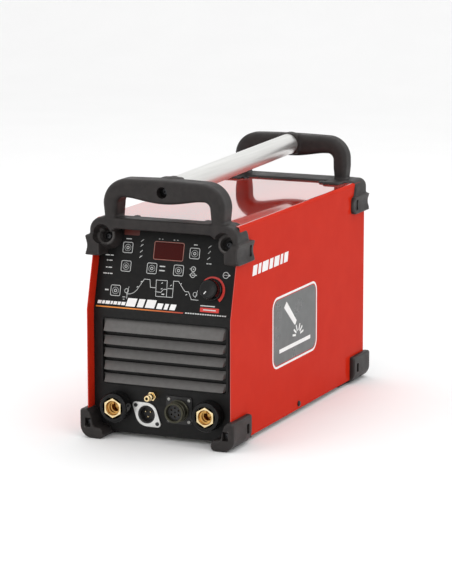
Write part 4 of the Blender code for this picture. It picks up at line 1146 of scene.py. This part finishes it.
def foot(name, side, end):
    edge = CASE_FRONT if end < 0 else CASE_REAR
    recess = 20.0 if end < 0 else 15.0
    half = 124.0
    profile = (
        [(half, 44), (114, 44), (108.5, 39), (105.5, 31), (103.5, 20), (101, 17.5), (91, 16)]
        + [(88, 13)]
        + arc(93.8, 7, 7, 150, 270, 7)
        + arc(half - 18.5, 18.5, 18.5, 270, 360, 10)
    )
    profile = [(x * side, z) for x, z in profile]
    outer, inner = edge + 11 * end, edge - 60 * end
    low, high = min(outer, inner), max(outer, inner)
    main = eased(along("foot", profile, low, high), 3.2, 3, 0.9)
    lip = [edge - 40 * end, edge - 90 * end]
    across = sorted((92 * side, 110 * side))
    pad = block("pad", (across[0], min(lip), 0.0), (across[1], max(lip), CASE_BOTTOM + 1), 1.2)
    body = moulded(name, [main, pad], 1.3, 4)
    wall_out, wall_in = HALF_WIDTH + GAP, HALF_WIDTH - SHEET - 2 * GAP
    wall_edge = edge + GAP * end
    panel_face = edge - (recess - GAP) * end
    deep = -edge * 0.2
    plan = [
        (wall_out, wall_edge), (wall_out, deep), (0, deep), (0, panel_face),
        (wall_in, panel_face), (wall_in, wall_edge),
    ]
    plan = [(x * side, y) for x, y in plan]
    case = plate("case", plan, CASE_BOTTOM - GAP, 120)
    spot = seated((111 * side, outer, 24), (1 if end < 0 else -1, 0, 0), (0, 0, 1))
    socket = plate("socket", rounded(0, 0, 4.6, 7.0, 1.2, 3), -8, 12, spot)
    slot = rounded((edge - 44 * end) * side, 25, 4.6, 7.5, 2.5)
    pocket = plate("side_pocket", slot, -4.0, 12, looking_side(122.5 * side, side))
    cut(body, case, socket, pocket)
    fitted(mould_shaded(body), "case", "bumper_moulding", moulding, name)
    spot = raised(spot, -8)
    sunk_screw(f"{name}_screw", spot, 3.9, 2.6, 2.2, dark_screw)


for end, where in ((-1, "front"), (1, "rear")):
    for side, hand in ((-1, "left"), (1, "right")):
        foot(f"foot_{where}_{hand}", side, end)

# ------------------------------------------------------------------ cover screws
# Dark-plated steel pan heads: four through the top of the cover into the bumpers, and one
# low on each side into the base tray.

for name, up, length in (
    ("top_screw_front_left", (0, 0, 1), 2.8),
    ("top_screw_front_right", (0, 0, 1), 2.8),
    ("top_screw_rear_left", (0, 0, 1), 2.8),
    ("top_screw_rear_right", (0, 0, 1), 2.8),
    ("side_screw_left", (-1, 0, 0), 2.4),
    ("side_screw_right", (1, 0, 0), 2.4),
):
    low, high = measured(name)
    middle = (low + high) / 2
    if up[2]:
        spot = seated((middle.x, middle.y, CASE_TOP + 0.05), (1, 0, 0), (0, 1, 0))
        head = (high.x - low.x) / 2
    else:
        spot = seated(((HALF_WIDTH + 0.05) * up[0], middle.y, middle.z), (0, up[0], 0), (0, 0, 1))
        head = (high.z - low.z) / 2
    sunk_screw(f"{name}_head", spot, head, length, 2.6, dark_screw, name)

# ------------------------------------------------------------------ fan and its guard
# A square axial fan behind the rear panel, moulded in black with a seven-bladed rotor, and a
# guard of plated wire rings welded to four spokes outside it.

coat(black_nylon, "fan_frame", "fan_rotor")
REAR_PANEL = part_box("rear_panel")[1].y / MM


def rear_seat(name):
    """On the rear panel at the middle of a CAD piece, its half width and how far it stands out."""
    low, high = measured(name)
    half = min(high.x - low.x, high.z - low.z) / 2
    seat = looking_rear((low.x + high.x) / 2, REAR_PANEL, (low.z + high.z) / 2)
    return seat, half, high.y - REAR_PANEL


def wire(name, points, thickness, closed=False):
    """Round wire bent along points, plated, over the fan."""
    curve = bpy.data.curves.new(name, "CURVE")
    curve.dimensions = "3D"
    curve.bevel_depth = thickness / 2
    curve.bevel_resolution = 3
    curve.use_fill_caps = True
    piece = shaped(name, meshed(name, curve, [points], closed), fan_seat)
    piece.data.shade_smooth()
    return fitted(piece, "case", "zinc_plate", zinc_sheet)


fan_seat, _, guard_height = rear_seat("fan_guard")
for number, radius in enumerate((14, 22.5, 31, 39.5, 48, 56.5)):
    ring = [(x, y, guard_height - 1.0) for x, y in circle(0, 0, radius, 72)]
    ring = wire(f"guard_ring_{number + 1}", ring, 1.8, True)
    if number == 0:
        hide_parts("fan_guard")
diagonals = [(cos(angle * DEGREES), sin(angle * DEGREES)) for angle in (45, 135, 225, 315)]
reach = ((14, guard_height - 1.4), (56, guard_height - 1.4), (60, 1.2), (66, 1.2))
for number, (across, up) in enumerate(diagonals):
    spoke = [(across * out, up * out, height) for out, height in reach]
    wire(f"guard_spoke_{number + 1}", spoke, 2.2)
fan_holes = [(68 * across, 68 * up, 0.1) for across, up in diagonals]
sunk_screws("fan_screw", fan_seat, fan_holes, 4.0, 2.4, 2.2, zinc_sheet)

# ------------------------------------------------------------------ mains switch
# A rotary switch on the rear panel: a square moulded plate and a turning disc with a grip
# bar, a white pointer, and a stroke and a ring for on and off.

switch_low, switch_high = measured("mains_switch_body")
switch_z = (switch_low.z + switch_high.z) / 2
switch_seat, _, _ = rear_seat("mains_switch_body")
face_loop, shaft_hole = rounded(0, 0, 23.9, 23.9, 3.5), circle(0, 0, 6, 32)
switch_plate = eased(plate("switch_plate", face_loop, 0.3, 6.0, switch_seat, [shaft_hole]), 1.2, 3)
fitted(smooth(switch_plate), "case", "black_moulding", black_nylon, "mains_switch_body")
box_low = (switch_low.x + 4, switch_low.y, switch_z - 20)
box_high = (switch_high.x - 4, REAR_PANEL + 0.2, switch_z + 20)
fitted(block("switch_box", box_low, box_high, 1), "case", "black_moulding", black_nylon)
disc_profile = [(0, 10), (15.5, 10), (17.2, 9.4), (18.0, 8.0), (18.0, 6.4), (5.5, 6.3), (0, 6.3)]
disc = turned("switch_disc", disc_profile, switch_seat, 72)
fitted(smooth(disc), "mains_switch_knob", "black_moulding", gloss_black, "mains_switch_knob")
grip = plate("switch_grip", rounded(0, 0, 4.4, 16.9, 3.6), 9.5, 23.9, switch_seat)
fitted(smooth(eased(grip, 1.2, 3)), "mains_switch_knob", "black_moulding", gloss_black)
line = bars("switch_pointer", stroke([(0, 5), (0, 14.5)], 1.6), raised(switch_seat, 23.9))
fitted(line, "mains_switch_knob", "black_moulding", white_vinyl)
switch_signs = stroke([(0, 18.9), (0, 22.3)], 1.0) + stroke(circle(20.7, 0, 1.7, 20), 0.8, True)
switch_signs = bars("switch_signs", switch_signs, raised(switch_seat, 6.0))
fitted(switch_signs, "case", "black_moulding", white_ink)
switch_corners = [(19.5, 19.5, 6.0), (-19.5, -19.5, 6.0)]
sunk_screws("switch_screw", switch_seat, switch_corners, 2.6, 1.4, 1.6, zinc_sheet)

# ------------------------------------------------------------------ mains cable gland
# A moulded nylon gland: a six-sided body screwed up against the panel and a ribbed dome nut
# that grips the cord.

gland_seat, gland_half, out = rear_seat("cable_gland")
nut_loop = hexagon(gland_half * 0.99)
gland_nut = plate("gland_nut", nut_loop, 0.3, 8.0, gland_seat, [circle(0, 0, 6.2, 40)])
fitted(smooth(eased(gland_nut, 0.9, 3)), "case", "black_moulding", black_nylon, "cable_gland")
dome_profile = [
    (6.1, 7.0), (6.1, out - 0.8), (6.9, out), (8.4, out), (10.4, out - 2.4), (11.3, out - 5.6),
    (11.4, 11.0), (10.6, 10.0), (10.6, 7.0), (6.1, 7.0),
]
dome = turned("gland_dome", dome_profile, gland_seat, 96)
dome = fluted(dome, gland_seat, 0.03, 16, 9.5, 10.4, out)
fitted(smooth(dome, 0.8), "case", "black_moulding", black_nylon)

# ------------------------------------------------------------------ gas inlet
# The hose tail for the bottle's gas, turned from brass with three barbs, its six-sided
# collar tightened against the rear panel.

inlet_seat, inlet_half, tail_out = rear_seat("gas_inlet")
collar_loop, hose_bore = hexagon(inlet_half * 0.99), circle(0, 0, 3.4, 32)
collar = plate("inlet_collar", collar_loop, 0.3, 6.5, inlet_seat, [hose_bore])
fitted(smooth(eased(collar, 0.7)), "case", "brass", bright_brass, "gas_inlet")
barbs = [(3.0, -20.0), (3.0, tail_out), (3.6, tail_out)]
for barb in range(3):
    top = tail_out - barb * 4.6
    barbs += [(4.9, top - 3.4), (4.9, top - 3.9), (4.0, top - 4.2), (4.0, top - 4.6)]
barbs += [(4.2, 6.0), (4.2, -20.0), (3.0, -20.0)]
tail = turned("inlet_tail", barbs, inlet_seat, 40)
fitted(smooth(tail), "case", "brass", bright_brass)

# ------------------------------------------------------------------ studio
# A pale floor that runs up into a pale backdrop, soft lights all round and the camera in
# front and to the right of the machine, looking slightly down.

studio_pale = surface(
    "studio_pale", (0.93, 0.93, 0.93), (0.92, 0.92, 0.92), 60, (0.8, 0.9), 0.02
)
bm = bmesh.new()
bend = [a * DEGREES for a in range(0, 91, 6)]
sweep = [(3500 + 2500 * sin(a), 2500 - 2500 * cos(a)) for a in bend]
sweep = [(-6000, 0), *sweep, (6000, 7000)]
edges = [(bm.verts.new((-9000, y, z)), bm.verts.new((9000, y, z))) for y, z in sweep]
for (a, b), (c, d) in zip(edges, edges[1:]):
    bm.faces.new((a, b, d, c))
floor = shaped("floor", bm)
floor.data.materials.append(studio_pale)
floor.data.shade_smooth()
floor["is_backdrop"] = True

world = bpy.data.worlds.new("studio")
world.use_nodes = True
surround = world.node_tree.nodes["Background"]
surround.inputs["Color"].default_value = (1.0, 1.0, 1.0, 1)
surround.inputs["Strength"].default_value = 1.0
bpy.context.scene.world = world
bpy.context.scene.view_settings.view_transform = "Standard"


def softbox(name, place, aim, size, power):
    lamp = bpy.data.lights.new(name, "AREA")
    lamp.shape = "RECTANGLE"
    lamp.size, lamp.size_y = size
    lamp.energy = power
    obj = bpy.data.objects.new(name, lamp)
    obj.location = place
    obj.rotation_euler = (Vector(aim) - Vector(place)).to_track_quat("-Z", "Y").to_euler()
    bpy.context.scene.collection.objects.link(obj)
    return obj


softbox("overhead", (0.2, 0.6, 2.8), (0, 0.1, 0.2), (2.4, 2.4), 22)
softbox("right_hand", (2.2, -2.2, 1.4), (0.1, 0, 0.2), (1.2, 1.6), 8)
softbox("left_front", (-1.6, -2.2, 1.5), (0, -0.2, 0.2), (1.2, 1.6), 6)

camera = bpy.data.cameras.new("camera")
camera.lens = 161.8
camera.sensor_width = 36
camera.clip_end = 60
camera_rig = bpy.data.objects.new("camera", camera)
camera_rig.location = (1.5979, -3.6471, 0.9475)
yaw, pitch, roll = radians(23.79), radians(10.92), radians(-0.06)
turn, tip = Matrix.Rotation(yaw, 3, "Z"), Matrix.Rotation(pi / 2 - pitch, 3, "X")
camera_rig.rotation_euler = (turn @ tip @ Matrix.Rotation(roll, 3, "Z")).to_euler()
bpy.context.scene.collection.objects.link(camera_rig)
bpy.context.scene.camera = camera_rig

low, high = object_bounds()
